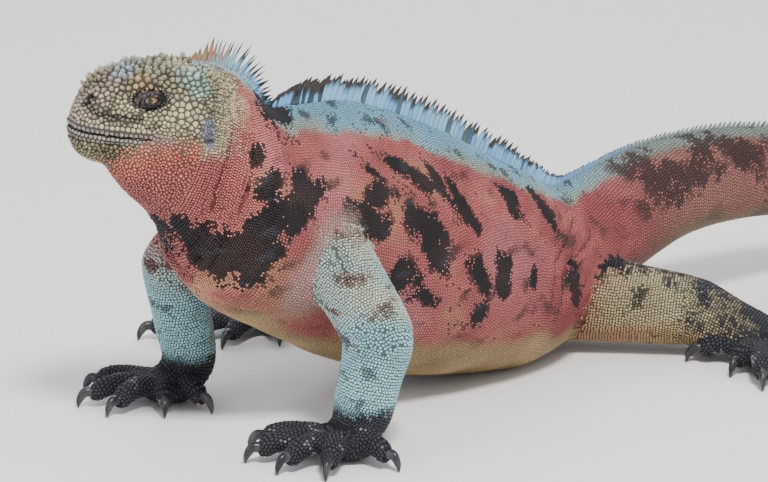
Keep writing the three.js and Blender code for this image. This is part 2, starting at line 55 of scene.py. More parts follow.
camera_lens.lens = 187.5
camera_lens.sensor_width = 36.0
camera = bpy.data.objects.new("photo_camera", camera_lens)
CAMERA_FROM_EYE = Vector((-1.265537, -1.42656, 0.4384))
left_eye_low, left_eye_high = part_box("left_eye")
camera.location = (left_eye_low + left_eye_high) / 2 + CAMERA_FROM_EYE
camera.rotation_euler = (math.radians(75), 0, math.radians(-45))
bpy.context.scene.collection.objects.link(camera)
bpy.context.scene.camera = camera

FLOOR_SIZE = 60.0
floor_shape = bmesh.new()
bmesh.ops.create_grid(floor_shape, x_segments=2, y_segments=2, size=FLOOR_SIZE / 2)
floor_mesh = bpy.data.meshes.new("studio_floor")
floor_shape.to_mesh(floor_mesh)
floor_shape.free()
floor = bpy.data.objects.new("studio_floor", floor_mesh)
bpy.context.scene.collection.objects.link(floor)
floor_paint = bpy.data.materials.new("pale_floor")
floor_paint.use_nodes = True
floor_paint.node_tree.nodes["Principled BSDF"].inputs["Base Color"].default_value = (0.90, 0.89, 0.88, 1.0)
floor_paint.node_tree.nodes["Principled BSDF"].inputs["Roughness"].default_value = 0.85
floor_mesh.materials.append(floor_paint)

studio = bpy.data.worlds.new("soft_studio")
studio.use_nodes = True
studio.node_tree.nodes["Background"].inputs["Color"].default_value = (0.93, 0.96, 1.0, 1.0)
studio.node_tree.nodes["Background"].inputs["Strength"].default_value = 0.84
bpy.context.scene.world = studio


def soft_lamp(name, place, aim, size, power, colour):
    """A square studio softbox that faces its aim."""
    lamp_data = bpy.data.lights.new(name, "AREA")
    lamp_data.shape = "SQUARE"
    lamp_data.size = size
    lamp_data.energy = power
    lamp_data.color = colour
    lamp = bpy.data.objects.new(name, lamp_data)
    lamp.location = place
    lamp.rotation_euler = (Vector(aim) - Vector(place)).to_track_quat("-Z", "Y").to_euler()
    bpy.context.scene.collection.objects.link(lamp)


soft_lamp("key_light", (-1.0, -1.2, 2.1), (-0.15, 0.0, 0.08), 0.45, 74.0, (1.0, 0.965, 0.91))
soft_lamp("fill_light", (-2.2, 0.6, 0.9), (-0.25, 0.0, 0.10), 1.2, 11.0, (0.88, 0.94, 1.0))
soft_lamp("back_light", (1.1, 1.4, 1.6), (0.0, 0.0, 0.08), 1.0, 16.0, (1.0, 0.98, 0.95))

# Head under its scales: a low wedge with a blunt snout, turned 30 degrees to the animal's right. It is drawn
# over round cuts from the nape to the snout, then joined with the body and legs in one hide. Each cut has its
# distance forward, top, bottom, half width, height of the widest place as a share, and two peakednesses.
HEAD_PLACE = np.array([-0.053, 0.005, 0.168])
HEAD_TURN = math.radians(150)
FORWARD = np.array([math.cos(HEAD_TURN), math.sin(HEAD_TURN), 0.0])
LEFTWARD = np.array([-math.sin(HEAD_TURN), math.cos(HEAD_TURN), 0.0])
UPWARD = np.array([0.0, 0.0, 1.0])
SKULL = np.array([
    [-0.0220, 0.0160, -0.0260, 0.0100, 0.45, 1.00, 1.00],
    [-0.0100, 0.0245, -0.0290, 0.0235, 0.42, 0.90, 0.90],
    [0.0010, 0.0275, -0.0270, 0.0285, 0.42, 0.80, 0.85],
    [0.0120, 0.0283, -0.0245, 0.0275, 0.42, 0.78, 0.80],
    [0.0240, 0.0295, -0.0225, 0.0245, 0.46, 0.72, 0.80],
    [0.0360, 0.0280, -0.0215, 0.0215, 0.46, 0.74, 0.80],
    [0.0460, 0.0245, -0.0205, 0.0185, 0.46, 0.78, 0.80],
    [0.0540, 0.0185, -0.0185, 0.0150, 0.45, 0.82, 0.85],
    [0.0593, 0.0120, -0.0150, 0.0110, 0.50, 0.90, 0.90],
    [0.0624, 0.0045, -0.0100, 0.0065, 0.50, 1.00, 1.00],
    [0.0634, -0.0005, -0.0050, 0.0020, 0.50, 1.00, 1.00],
])
SNOUT = len(SKULL) - 1
EYE_RADIUS = 0.0046
EYE_FORWARD = 0.0264
EYE_SIDE = 0.0206
EYE_HEIGHT = 0.0146


def in_head(forward, left, up):
    """Head coordinates to body coordinates."""
    place = HEAD_PLACE + np.multiply.outer(forward, FORWARD) + np.multiply.outer(left, LEFTWARD)
    return place + np.multiply.outer(up, UPWARD)


def head_coordinates(points):
    """Body coordinates to distances forward, left and up in the head."""
    away = points - HEAD_PLACE
    return away @ FORWARD, away @ LEFTWARD, away[..., 2]


# The left eye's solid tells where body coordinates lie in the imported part
BODY_PLACE = np.array((left_eye_low + left_eye_high) / 2) - in_head(EYE_FORWARD, EYE_SIDE, EYE_HEIGHT)


def spline(rows, station):
    """A smooth curve through rows, at station numbers that may fall between them."""
    ends = np.vstack([2 * rows[0] - rows[1], rows, 2 * rows[-1] - rows[-2]])
    station = np.clip(np.asarray(station, float), 0, len(rows) - 1 - 1e-6)
    index = station.astype(int)
    part = (station - index)[..., None]
    a, b, c, d = (ends[index + k] for k in range(4))
    return b + 0.5 * part * (c - a + part * (2 * a - 5 * b + 4 * c - d + part * (3 * (b - c) + d - a)))


def unit(vectors):
    return vectors / np.maximum(np.linalg.norm(vectors, axis=-1, keepdims=True), 1e-12)


def cut_outline(angle, width, above, below, peak_top, peak_bottom):
    """A place on a cut's outline, as distances to the left and up from its widest height."""
    across, rise = np.cos(angle), np.sin(angle)
    peak = np.where(rise > 0, peak_top, peak_bottom)
    return np.sign(across) * width * np.abs(across) ** peak, rise * np.where(rise > 0, above, below)


def skull_surface(station, angle):
    """The skull's outside; the angle goes from its left side, 0, over the crown to its right side, pi."""
    forward, top, bottom, width, share, peak_top, peak_bottom = np.moveaxis(spline(SKULL, station), -1, 0)
    waist = bottom + (top - bottom) * share
    across, rise = cut_outline(angle, width, top - waist, waist - bottom, peak_top, peak_bottom)
    return in_head(np.zeros_like(forward), 0.0, 0.0) + forward[..., None] * FORWARD + \
        across[..., None] * LEFTWARD + (waist + rise)[..., None] * UPWARD


def add_form(whole, surface, sides, rings):
    """Adds a closed form to whole: a ball whose parallels become the cuts of surface(share, angle)."""
    ball = bmesh.new()
    bmesh.ops.create_uvsphere(ball, u_segments=sides, v_segments=rings + 1, radius=1.0)
    place = np.array([vert.co for vert in ball.verts])
    ring = np.arccos(np.clip(place[:, 2], -1, 1)) / math.pi * (rings + 1)
    share = np.clip((ring - 1) / (rings - 1), 0, 1)
    moved = surface(share, np.arctan2(place[:, 1], place[:, 0]))
    around = np.linspace(0, 2 * math.pi, 12, endpoint=False)
    for pole in np.nonzero(np.abs(place[:, 2]) > 0.999999)[0]:
        moved[pole] = surface(np.full(12, share[pole]), around).mean(axis=0)
    for vert, co in zip(ball.verts, moved):
        vert.co = co
    form = bpy.data.meshes.new("form")
    ball.to_mesh(form)
    ball.free()
    whole.from_mesh(form)
    bpy.data.meshes.remove(form)


hide_shape = bmesh.new()
add_form(hide_shape, lambda share, angle: skull_surface(share * SNOUT, angle), 64, 70)

# Body under its scales: from the throat to the tip of the tail, sagging between the legs until the belly
# rests on the ground. Each cut has its top x, y, z and bottom x, y, z, then as for the head.
BODY = np.array([
    [-0.0640, 0.0130, 0.1860, -0.0970, 0.0290, 0.1545, 0.0080, 0.40, 1.00, 1.00],
    [-0.0610, 0.0110, 0.1880, -0.0935, 0.0245, 0.1440, 0.0170, 0.42, 1.00, 1.00],
    [-0.0570, 0.0090, 0.1910, -0.0875, 0.0185, 0.1330, 0.0240, 0.45, 0.95, 0.95],
    [-0.0500, 0.0070, 0.1945, -0.0785, 0.0125, 0.1225, 0.0280, 0.48, 0.95, 0.95],
    [-0.0410, 0.0050, 0.1935, -0.0705, 0.0080, 0.1085, 0.0310, 0.50, 1.10, 0.95],
    [-0.0290, 0.0030, 0.1875, -0.0655, 0.0040, 0.0915, 0.0330, 0.50, 1.30, 0.95],
    [-0.0185, 0.0015, 0.1770, -0.0560, 0.0015, 0.0785, 0.0340, 0.46, 1.40, 0.95],
    [-0.0080, 0.0005, 0.1670, -0.0435, 0.0000, 0.0670, 0.0380, 0.44, 1.50, 0.90],
    [0.0080, 0.0000, 0.1655, -0.0250, 0.0000, 0.0570, 0.0430, 0.42, 1.55, 0.85],
    [0.0280, 0.0000, 0.1635, 0.0030, 0.0000, 0.0420, 0.0480, 0.40, 1.60, 0.82],
    [0.0520, 0.0000, 0.1585, 0.0330, 0.0000, 0.0255, 0.0530, 0.39, 1.60, 0.80],
    [0.0860, 0.0000, 0.1470, 0.0730, 0.0000, 0.0105, 0.0580, 0.39, 1.60, 0.80],
    [0.1240, 0.0000, 0.1290, 0.1190, 0.0000, 0.0015, 0.0580, 0.39, 1.55, 0.80],
    [0.1620, 0.0000, 0.1090, 0.1600, 0.0000, -0.0010, 0.0510, 0.40, 1.50, 0.80],
    [0.1860, 0.0000, 0.0965, 0.1900, 0.0000, 0.0020, 0.0420, 0.43, 1.45, 0.82],
    [0.2060, 0.0000, 0.0885, 0.2140, 0.0000, 0.0090, 0.0350, 0.45, 1.40, 0.85],
    [0.2320, -0.0010, 0.0925, 0.2400, -0.0010, 0.0220, 0.0295, 0.46, 1.35, 0.90],
    [0.2600, -0.0020, 0.0975, 0.2680, -0.0020, 0.0325, 0.0260, 0.46, 1.30, 0.95],
    [0.3000, -0.0040, 0.0995, 0.3040, -0.0040, 0.0420, 0.0230, 0.46, 1.30, 1.00],
    [0.3450, -0.0070, 0.0975, 0.3460, -0.0070, 0.0435, 0.0200, 0.45, 1.30, 1.00],
    [0.3920, -0.0120, 0.0900, 0.3880, -0.0120, 0.0395, 0.0175, 0.45, 1.30, 1.00],
    [0.4360, -0.0200, 0.0770, 0.4290, -0.0200, 0.0305, 0.0155, 0.45, 1.30, 1.00],
    [0.4780, -0.0300, 0.0610, 0.4700, -0.0300, 0.0200, 0.0135, 0.45, 1.30, 1.00],
    [0.5180, -0.0370, 0.0460, 0.5110, -0.0370, 0.0090, 0.0120, 0.45, 1.30, 1.00],
    [0.5570, -0.0380, 0.0350, 0.5530, -0.0380, 0.0010, 0.0105, 0.45, 1.30, 0.90],
    [0.5960, -0.0310, 0.0280, 0.5940, -0.0310, -0.0010, 0.0092, 0.45, 1.30, 0.85],
    [0.6340, -0.0170, 0.0230, 0.6330, -0.0170, -0.0010, 0.0078, 0.45, 1.20, 0.85],
    [0.6700, 0.0010, 0.0185, 0.6690, 0.0010, -0.0010, 0.0064, 0.45, 1.20, 0.90],
    [0.7030, 0.0190, 0.0140, 0.7020, 0.0190, -0.0008, 0.0050, 0.45, 1.10, 0.90],
    [0.7320, 0.0330, 0.0095, 0.7315, 0.0330, -0.0006, 0.0036, 0.45, 1.00, 1.00],
    [0.7550, 0.0410, 0.0040, 0.7550, 0.0410, 0.0002, 0.0014, 0.50, 1.00, 1.00],
])
TAIL_TIP = len(BODY) - 1


def body_cut(station):
    """The cut at a station, and its directions up and to the right, which is +y."""
    cut = spline(BODY, station)
    near = np.clip(station, 0.02, TAIL_TIP - 0.02)
    slope = spline(BODY, near + 0.01) - spline(BODY, near - 0.01)
    up = unit(cut[..., 0:3] - cut[..., 3:6])
    return cut, up, unit(np.cross(up, unit(slope[..., 0:3]) + unit(slope[..., 3:6])))


def body_surface(station, angle):
    """The body's outside; the angle goes from its right side, 0, over the back to its left side, pi."""
    cut, up, right = body_cut(station)
    width, share, peak_top, peak_bottom = np.moveaxis(cut[..., 6:10], -1, 0)
    height = np.linalg.norm(cut[..., 0:3] - cut[..., 3:6], axis=-1)
    across, rise = cut_outline(angle, width, (1 - share) * height, share * height, peak_top, peak_bottom)
    return cut[..., 3:6] + up * (share * height + rise)[..., None] + right * across[..., None]


add_form(hide_shape, lambda share, angle: body_surface(share * TAIL_TIP, angle), 72, 300)

# Legs under their scales: they sprawl from the shoulders and hips, stout at the root, with five clawed digits
# on each hand and foot. Sizes are half widths and half heights; each digit is the place of its claw's tip.
LIMBS = {
    "left_arm": {
        "root": [0.006, -0.022, 0.100], "hinge": [-0.002, -0.074, 0.060], "ankle": [-0.012, -0.070, 0.020],
        "palm": [-0.022, -0.068, 0.0085], "root_size": [0.020, 0.021], "hinge_size": [0.017, 0.017],
        "ankle_size": [0.016, 0.0125], "palm_size": [0.015, 0.019, 0.009], "claw": 0.013, "arch": 0.002,
        "digits": [[-0.047, -0.026], [-0.064, -0.041], [-0.066, -0.066], [-0.056, -0.090], [-0.020, -0.105]],
        "nodes": ["left_upper_arm", "left_forearm", "left_hand"],
    },
    "right_arm": {
        "root": [0.008, 0.022, 0.100], "hinge": [-0.017, 0.062, 0.076], "ankle": [-0.008, 0.062, 0.020],
        "palm": [-0.020, 0.066, 0.0085], "root_size": [0.020, 0.021], "hinge_size": [0.017, 0.017],
        "ankle_size": [0.015, 0.0125], "palm_size": [0.015, 0.019, 0.009], "claw": 0.013, "arch": 0.002,
        "digits": [[-0.021, 0.030], [-0.043, 0.042], [-0.063, 0.064], [-0.062, 0.088], [-0.041, 0.107]],
        "nodes": ["right_upper_arm", "right_forearm", "right_hand"],
    },
    "left_leg": {
        "root": [0.194, -0.008, 0.033], "hinge": [0.240, -0.070, 0.0235], "ankle": [0.256, -0.110, 0.0125],
        "palm": [0.250, -0.110, 0.0084], "root_size": [0.030, 0.028], "hinge_size": [0.0185, 0.0185],
        "ankle_size": [0.0095, 0.013], "palm_size": [0.017, 0.022, 0.009], "claw": 0.014, "arch": -0.001,
        "digits": [[0.224, -0.081], [0.218, -0.117], [0.211, -0.145], [0.226, -0.172], [0.272, -0.158]],
        "nodes": ["left_thigh", "left_shank", "left_foot"],
    },
    "right_leg": {
        "root": [0.196, 0.014, 0.050], "hinge": [0.156, 0.080, 0.042], "ankle": [0.134, 0.122, 0.020],
        "palm": [0.112, 0.124, 0.0084], "root_size": [0.026, 0.029], "hinge_size": [0.018, 0.019],
        "ankle_size": [0.012, 0.012], "palm_size": [0.018, 0.016, 0.009], "claw": 0.014, "arch": 0.002,
        "digits": [[0.088, 0.094], [0.062, 0.112], [0.044, 0.134], [0.042, 0.158], [0.096, 0.164]],
        "nodes": ["right_thigh", "right_shank", "right_foot"],
    },
}
TOE_RADIUS = 0.005
TOE_GIRTH = np.array([[2.1, 1.3], [1.3, 1.15], [1.1, 1.1], [1.0, 1.0], [0.6, 0.6]]) * TOE_RADIUS
CLAW_BASE = 0.58  # share of a claw's length that shows past the toe


def sweep(path, girth, upright=(0.0, 0.0, 1.0)):
    """The outside of a leg, toe or claw along path, with a half width and half height at each point."""
    path, girth = np.array(path), np.array(girth)
    last = len(path) - 1

    def surface(share, angle):
        near = np.clip(share * last, 0.003, last - 0.003)
        along = unit(spline(path, near + 0.002) - spline(path, near - 0.002))
        side = unit(np.cross(upright, along))
        size = spline(girth, share * last)
        across = side * (np.cos(angle) * size[..., 0])[..., None]
        rise = np.cross(along, side) * (np.sin(angle) * size[..., 1])[..., None]
        return spline(path, share * last) + across + rise

    return surface


def part_way(start, end, share, lift=0.0):
    return [a + (b - a) * share + rise for a, b, rise in zip(start, end, (0.0, 0.0, lift))]


def leg_surfaces(limb):
    """Upper and lower leg."""
    root, hinge, ankle, palm = limb["root"], limb["hinge"], limb["ankle"], limb["palm"]
    root_size, hinge_size = np.array(limb["root_size"]), np.array(limb["hinge_size"])
    ankle_size = np.array(limb["ankle_size"])
    upper = sweep(
        [root, part_way(root, hinge, 0.5, limb["arch"]), hinge, part_way(hinge, root, -0.2)],
        [root_size, root_size * 0.4 + hinge_size * 0.6, hinge_size, hinge_size * 0.6],
    )
    lower = sweep(
        [
            part_way(hinge, ankle, -0.22), hinge, part_way(hinge, ankle, 0.5), ankle,
            part_way(ankle, palm, 0.9),
        ],
        [hinge_size * 0.6, hinge_size, hinge_size * 0.55 + ankle_size * 0.45, ankle_size, [0.011, 0.006]],
        (1.0, 0.0, 0.2),
    )
    return upper, lower


def digit_paths(limb, tip):
    """The way of a toe, arched from the palm and down, and the way of its claw to the ground."""
    palm = np.array(limb["palm"])
    reach = np.array([tip[0] - palm[0], tip[1] - palm[1], 0.0])
    distance = np.linalg.norm(reach)
    claw = limb["claw"] * CLAW_BASE
    end = distance - claw

    def at(along, height):
        place = palm + reach * along / distance
        return [place[0], place[1], height]

    toe = [at(0.003, 0.009), at(end * 0.5, 0.0115), at(end * 0.8, 0.0105), at(end - 0.002, 0.0074)]
    claw_path = [at(end - 0.001, 0.008), at(end + claw * 0.5, 0.0082), at(end + claw * 0.9, 0.0042)]
    return toe + [at(end + 0.0015, 0.006)], claw_path + [[tip[0], tip[1], 0.0004]]


def pad_surface(limb):
    """The ball of a hand or foot."""
    centre, size = np.array(limb["palm"]), np.array(limb["palm_size"])

    def surface(share, angle):
        ring = np.sin(math.pi * np.clip(share, 0.02, 0.98))
        way = np.stack([ring * np.cos(angle), ring * np.sin(angle), np.cos(math.pi * share)], axis=-1)
        return centre + way * size

    return surface


limb_forms = []
for limb_name, limb in LIMBS.items():
    upper, lower = leg_surfaces(limb)
    limb_forms += [(limb_name, "upper", upper), (limb_name, "lower", lower)]
    limb_forms.append((limb_name, "pad", pad_surface(limb)))
    limb_forms += [
        (limb_name, "toe", sweep(digit_paths(limb, tip)[0], TOE_GIRTH)) for tip in limb["digits"]
    ]
for _, kind, surface in limb_forms:
    add_form(hide_shape, surface, 20 if kind == "toe" else 36, 18 if kind == "toe" else 36)

# Hide: one skin over the whole animal, so that no seam shows. The forms are fused into one closed surface,
# which is relaxed, then given the folds of the neck, the brows, eye hollows, nostrils, lips and ears.
HIDE_GRAIN = 0.00225
COAT_DEPTH = 0.0003
MOUTH_CORNER = 3.4
MOUTH_END = SNOUT - 0.35
MOUTH_CORNER_HEIGHT, MOUTH_RISE, MOUTH_FRONT_HEIGHT = -0.0075, 0.0070, -0.0006
# Each is a station along the skull, and a height
NOSTRIL = (7.0, 0.0140)
LABIAL_CREASE = np.array([[7.55, 0.0120], [6.9, 0.0080], [5.8, 0.0060], [4.65, 0.0050]])
EAR = (1.85, -0.0020)
rough_mesh = bpy.data.meshes.new("fused_forms")
hide_shape.to_mesh(rough_mesh)
hide_shape.free()
rough_hide = bpy.data.objects.new("fused_forms", rough_mesh)
bpy.context.scene.collection.objects.link(rough_hide)
fuse = rough_hide.modifiers.new("fuse", "REMESH")
fuse.mode = "VOXEL"
fuse.voxel_size = HIDE_GRAIN
fused = bpy.data.meshes.new_from_object(rough_hide.evaluated_get(bpy.context.evaluated_depsgraph_get()))
bpy.data.objects.remove(rough_hide)
hide_shape = bmesh.new()
hide_shape.from_mesh(fused)
bpy.data.meshes.remove(fused)


def shape_places(shape):
    shape.verts.index_update()
    return np.array([vert.co for vert in shape.verts])


def shape_pairs(shape):
    """The pairs of corners that a shape's edges join."""
    return np.array([(edge.verts[0].index, edge.verts[1].index) for edge in shape.edges])


def neighbour_mean(values, pairs):
    """At each corner, the mean of what stands at the corners next to it."""
    count = len(values)
    first, second = pairs.T
    joined = np.bincount(pairs.ravel(), minlength=count)
    total = [
        np.bincount(first, column[second], count) + np.bincount(second, column[first], count)
        for column in values.T
    ]
    return np.stack(total, axis=1) / joined[:, None]


def relax(places, pairs, strength, rounds):
    """Evens places out, growing back after each step so that the form doesn't shrink."""
    for step in range(rounds * 2):
        push = 1.0 if step % 2 == 0 else -1.04
        places = places + (neighbour_mean(places, pairs) - places) * (strength * push)
    return places


def move_corners(shape, places):
    for vert, co in zip(shape.verts, places):
        vert.co = co


def outward_directions(shape):
    shape.normal_update()
    return np.array([vert.normal for vert in shape.verts])


def skull_angle(station, height):
    """The angle at which the skull's left side has a given height."""
    row = spline(SKULL, station)
    waist = row[..., 2] + (row[..., 1] - row[..., 2]) * row[..., 4]
    reach = np.where(height > waist, row[..., 1] - waist, waist - row[..., 2])
    return np.arcsin(np.clip((height - waist) / reach, -1, 1))


def on_skull(station, height, side):
    """A place on the skull at a given height, on its left side for 1 and its right side for -1."""
    angle = skull_angle(station, height)
    return skull_surface(station, angle if side > 0 else math.pi - angle)


def mouth_line(steps):
    """Where the lips meet, from the left corner round the snout to the right corner."""
    share = np.linspace(0, 1, steps)
    station = MOUTH_CORNER + (MOUTH_END - MOUTH_CORNER) * share
    height = MOUTH_CORNER_HEIGHT + MOUTH_RISE * share ** 0.6
    left = on_skull(station, height, 1)
    front = in_head(SKULL[SNOUT, 0], 0.0, MOUTH_FRONT_HEIGHT)[None, :]
    return np.vstack([left, front, on_skull(station, height, -1)[::-1]])


def line_distance(points, line):
    """How far points are from a line of places, and the height above its nearest place."""
    best = np.full(len(points), np.inf)
    rise = np.zeros(len(points))
    for start, end in zip(line[:-1], line[1:]):
        way = end - start
        share = np.clip((points - start) @ way / (way @ way), 0, 1)
        away = points - start - share[:, None] * way
        far = np.linalg.norm(away, axis=1)
        nearer = far < best
        best = np.where(nearer, far, best)
        rise = np.where(nearer, away[:, 2], rise)
    return best, rise


def bump(distance, width):
    """1 in the middle and 0 beyond width, with a soft slope."""
    share = np.clip(1 - distance / width, 0, 1)
    return share * share * (3 - 2 * share)


def ripple(points, size, seed, waves=18):
    """A smooth random value about 0 at each point, with lumps about as large as size."""
    chance = np.random.default_rng(seed)
    turns = unit(chance.normal(size=(waves, 3))) * (math.pi / (size * chance.uniform(0.6, 1.7, (waves, 1))))
    return np.sin(points @ turns.T + chance.uniform(0, 2 * math.pi, waves)).sum(axis=1) / math.sqrt(waves)


def split_near(shape, wanted):
    """Cuts the edges between wanted corners in half, for finer carving there."""
    edges = [edge for edge in shape.edges if wanted[edge.verts[0].index] and wanted[edge.verts[1].index]]
    bmesh.ops.subdivide_edges(shape, edges=edges, cuts=1, use_grid_fill=True)


MOUTH = mouth_line(40)
EYES = [in_head(EYE_FORWARD, side * EYE_SIDE, EYE_HEIGHT) for side in (1, -1)]
NOSTRILS = [on_skull(NOSTRIL[0], NOSTRIL[1], side) for side in (1, -1)]
EARS = [on_skull(EAR[0], EAR[1], side) for side in (1, -1)]
LABIAL_CREASES = [on_skull(LABIAL_CREASE[:, 0], LABIAL_CREASE[:, 1], side) for side in (1, -1)]

places = shape_places(hide_shape)
pairs = shape_pairs(hide_shape)
ahead, _, _ = head_coordinates(places)
move_corners(hide_shape, relax(places, pairs, 0.5, 9))
split_near(hide_shape, ahead > -0.012)
places = shape_places(hide_shape)
detail = np.minimum.reduce([
    line_distance(places, MOUTH)[0] - 0.0035,
    *[np.linalg.norm(places - eye, axis=1) - 0.0085 for eye in EYES],
    *[np.linalg.norm(places - nostril, axis=1) - 0.003 for nostril in NOSTRILS],
])
split_near(hide_shape, detail < 0)
places = shape_places(hide_shape)
pairs = shape_pairs(hide_shape)
places = relax(places, pairs, 0.5, 3)
move_corners(hide_shape, places)
outward = outward_directions(hide_shape)

# Carving of the head: the brow stands over the eye, the lips part along the mouth, and the jaw is full. Each
# swelling has its height, its middle ahead and up, its stretch, its reach and how far out it starts.
SWELLINGS = {
    "brow": (0.0028, 0.029, 0.0220, 0.5, 0.0060, 0.010),
    "cheekbone": (0.0016, 0.027, 0.0060, 0.5, 0.0055, 0.008),
    "jaw": (0.0016, 0.004, -0.012, 0.8, 0.014, 0.010),
    "hollow_before_eye": (-0.0014, 0.040, 0.0145, 0.6, 0.006, 0.008),
}
ahead, leftward, upward = head_coordinates(places)
flank = np.abs(leftward)
push = np.full(len(places), -COAT_DEPTH)
for height, middle, level, stretch, reach, outside in SWELLINGS.values():
    push += height * bump(np.hypot((ahead - middle) * stretch, upward - level), reach) * (flank > outside)
push += 0.0010 * ripple(places, 0.009, 8) * np.clip((upward - 0.012) / 0.008, 0, 1) * (ahead > 0)
for crease in LABIAL_CREASES:
    push -= 0.0011 * bump(line_distance(places, crease)[0], 0.0016)
lip_distance, lip_rise = line_distance(places, MOUTH)
push += 0.0009 * bump(np.abs(lip_distance - 0.0022), 0.0019) - 0.0024 * bump(lip_distance, 0.0012)
push += 0.0005 * bump(np.abs(lip_distance - 0.0058), 0.0022) * (lip_rise < 0)
for eye in EYES:
    push -= 0.0046 * bump(np.linalg.norm(places - eye, axis=1), 0.0078)
for nostril in NOSTRILS:
    far = np.linalg.norm(places - nostril, axis=1)
    push += 0.0007 * bump(np.abs(far - 0.0032), 0.0014) - 0.0036 * bump(far, 0.0029)
EAR_SIDE_REACH = 0.012
for ear in EARS:
    away = places - ear
    far = np.hypot(away @ FORWARD / 0.0026, away[:, 2] / 0.0060)
    hollow = 0.0004 * bump(np.abs(far - 1.2), 0.5) - 0.0016 * bump(far, 1.25)
    push += np.where(np.abs(away @ LEFTWARD) < EAR_SIDE_REACH, hollow, 0)
places = places + outward * push[:, None]
move_corners(hide_shape, places)


# Every place on the hide belongs to one form, with its share of the way along it and its angle round it.
# Each form has its name, kind and outside, then the marks along it and round it.
FORMS = [("body", "body", lambda share, angle: body_surface(share * TAIL_TIP, angle), 420, 72)]
FORMS.append(("head", "head", lambda share, angle: skull_surface(share * SNOUT, angle), 60, 64))
FORMS += [(name, kind, surface, 20 if kind == "toe" else 40, 24) for name, kind, surface in limb_forms]
BODY_FORM, HEAD_FORM = 0, 1  # the legs' forms come after these
marks, marks_form, marks_share, marks_angle = [], [], [], []
for number, (_, _, surface, along_count, round_count) in enumerate(FORMS):
    share, angle = np.meshgrid(
        np.linspace(0, 1, along_count), np.linspace(0, 2 * math.pi, round_count, endpoint=False),
        indexing="ij",
    )
    marks.append(surface(share.ravel(), angle.ravel()))
    marks_form.append(np.full(share.size, number))
    marks_share.append(share.ravel())
    marks_angle.append(angle.ravel())
marks, marks_form = np.vstack(marks), np.concatenate(marks_form)
marks_share, marks_angle = np.concatenate(marks_share), np.concatenate(marks_angle)
mark_tree = kdtree.KDTree(len(marks))
for number, co in enumerate(marks):
    mark_tree.insert(co, number)
mark_tree.balance()


def nearest_mark(points):
    return np.array([mark_tree.find(co)[1] for co in points])


# Folds: slack skin gathers in rings round the neck, and in creases behind the jaw, across the breast, over
# the shoulders and before the thighs. A ring has its station and depth, and the creases are in millimetres.
NECK_RINGS = ((3.1, 0.0007), (3.75, 0.0009), (4.45, 0.0009), (5.2, 0.0011), (6.0, 0.0010), (6.8, 0.0008))
nearest = nearest_mark(places)
station = marks_share[nearest] * TAIL_TIP
on_body = marks_form[nearest] == BODY_FORM
outward = outward_directions(hide_shape)
waver = ripple(places, 0.030, 3) * 0.16
push = np.zeros(len(places))
for fold, depth in NECK_RINGS:
    crease = np.abs(station - fold - waver)
    push -= depth * bump(crease, 0.16) - depth * 0.5 * bump(np.abs(crease - 0.34), 0.2)
folded = on_body * bump(np.abs(station - 4.9), 2.9) * np.clip(1.2 - np.abs(outward[:, 2]) * 1.3, 0, 1)
push *= folded
push += on_body * (station > 7) * (station < 15) * 0.0006 * ripple(places, 0.020, 5)
FOLDS = [np.array(line) / 1000 for line in (
    [[-54, -23, 166], [-60, -25, 152], [-66, -23, 137], [-67, -22, 127]],
    [[-43, -26, 158], [-46, -29, 148], [-50, -30, 136], [-54, -29, 126]],
    [[-67, 13, 102], [-66, 5, 96], [-65, -1, 93], [-64, -3, 89]],
    [[-21, -37, 123], [-13, -41, 112], [-8, -48, 101], [-10, -57, 92]],
    [[200, -32, 64], [183, -40, 61], [166, -47, 59], [159, -50, 53], [156, -51, 39]],
    [[190, -29, 75], [172, -40, 70], [154, -49, 63], [147, -54, 45]],
)]
FOLD_DEPTH, FOLD_WIDTH = 0.0017, 0.0026


def fold_distance(points):
    """How far points are from the nearest of the folds, which both sides have."""
    mirrored = points * [1, -1, 1]
    return np.minimum.reduce([line_distance(side, fold)[0] for fold in FOLDS for side in (points, mirrored)])


fold_far = fold_distance(places)
fold_lip = bump(np.abs(fold_far - 1.7 * FOLD_WIDTH), FOLD_WIDTH)
push -= FOLD_DEPTH * bump(fold_far, FOLD_WIDTH) - 0.6 * FOLD_DEPTH * fold_lip
places = places + outward * push[:, None]
places[:, 2] = np.maximum(places[:, 2], 0.0002)
move_corners(hide_shape, places)
hide_shape.normal_update()
hide_tree = BVHTree.FromBMesh(hide_shape)
hide_mesh = bpy.data.meshes.new("hide")
hide_shape.to_mesh(hide_mesh)
hide_shape.free()
hide_mesh.polygons.foreach_set("use_smooth", np.ones(len(hide_mesh.polygons), bool))
hide_mesh.vertices.foreach_set("co", (places + BODY_PLACE).astype(np.float32).ravel())
hide_mesh.update()
hide = bpy.data.objects.new("hide", hide_mesh)
bpy.context.scene.collection.objects.link(hide)
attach(hide, "root")
FLESH = ["head", "neck", "torso"] + [f"tail_{number}" for number in range(1, 6)]
FLESH += [node for limb in LIMBS.values() for node in limb["nodes"]]
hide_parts(*FLESH)

# Colours of a breeding male: rose flanks with black blotches that keep to whole scales, a blue-green band
# under the crest, a black collar, a tan belly, a grey-green head, pale blue-green arms, near-black feet and a
# dusky tail. The same colours go on the hide and on the scales.


def paint(red, green, blue):
    """A screen colour, 0 to 255, as light."""
    part = np.array([red, green, blue]) / 255
    return np.where(part > 0.04045, ((part + 0.055) / 1.055) ** 2.4, part / 12.92)


def blend(first, second, share):
    return first + (second - first) * np.atleast_1d(np.clip(share, 0, 1))[:, None]


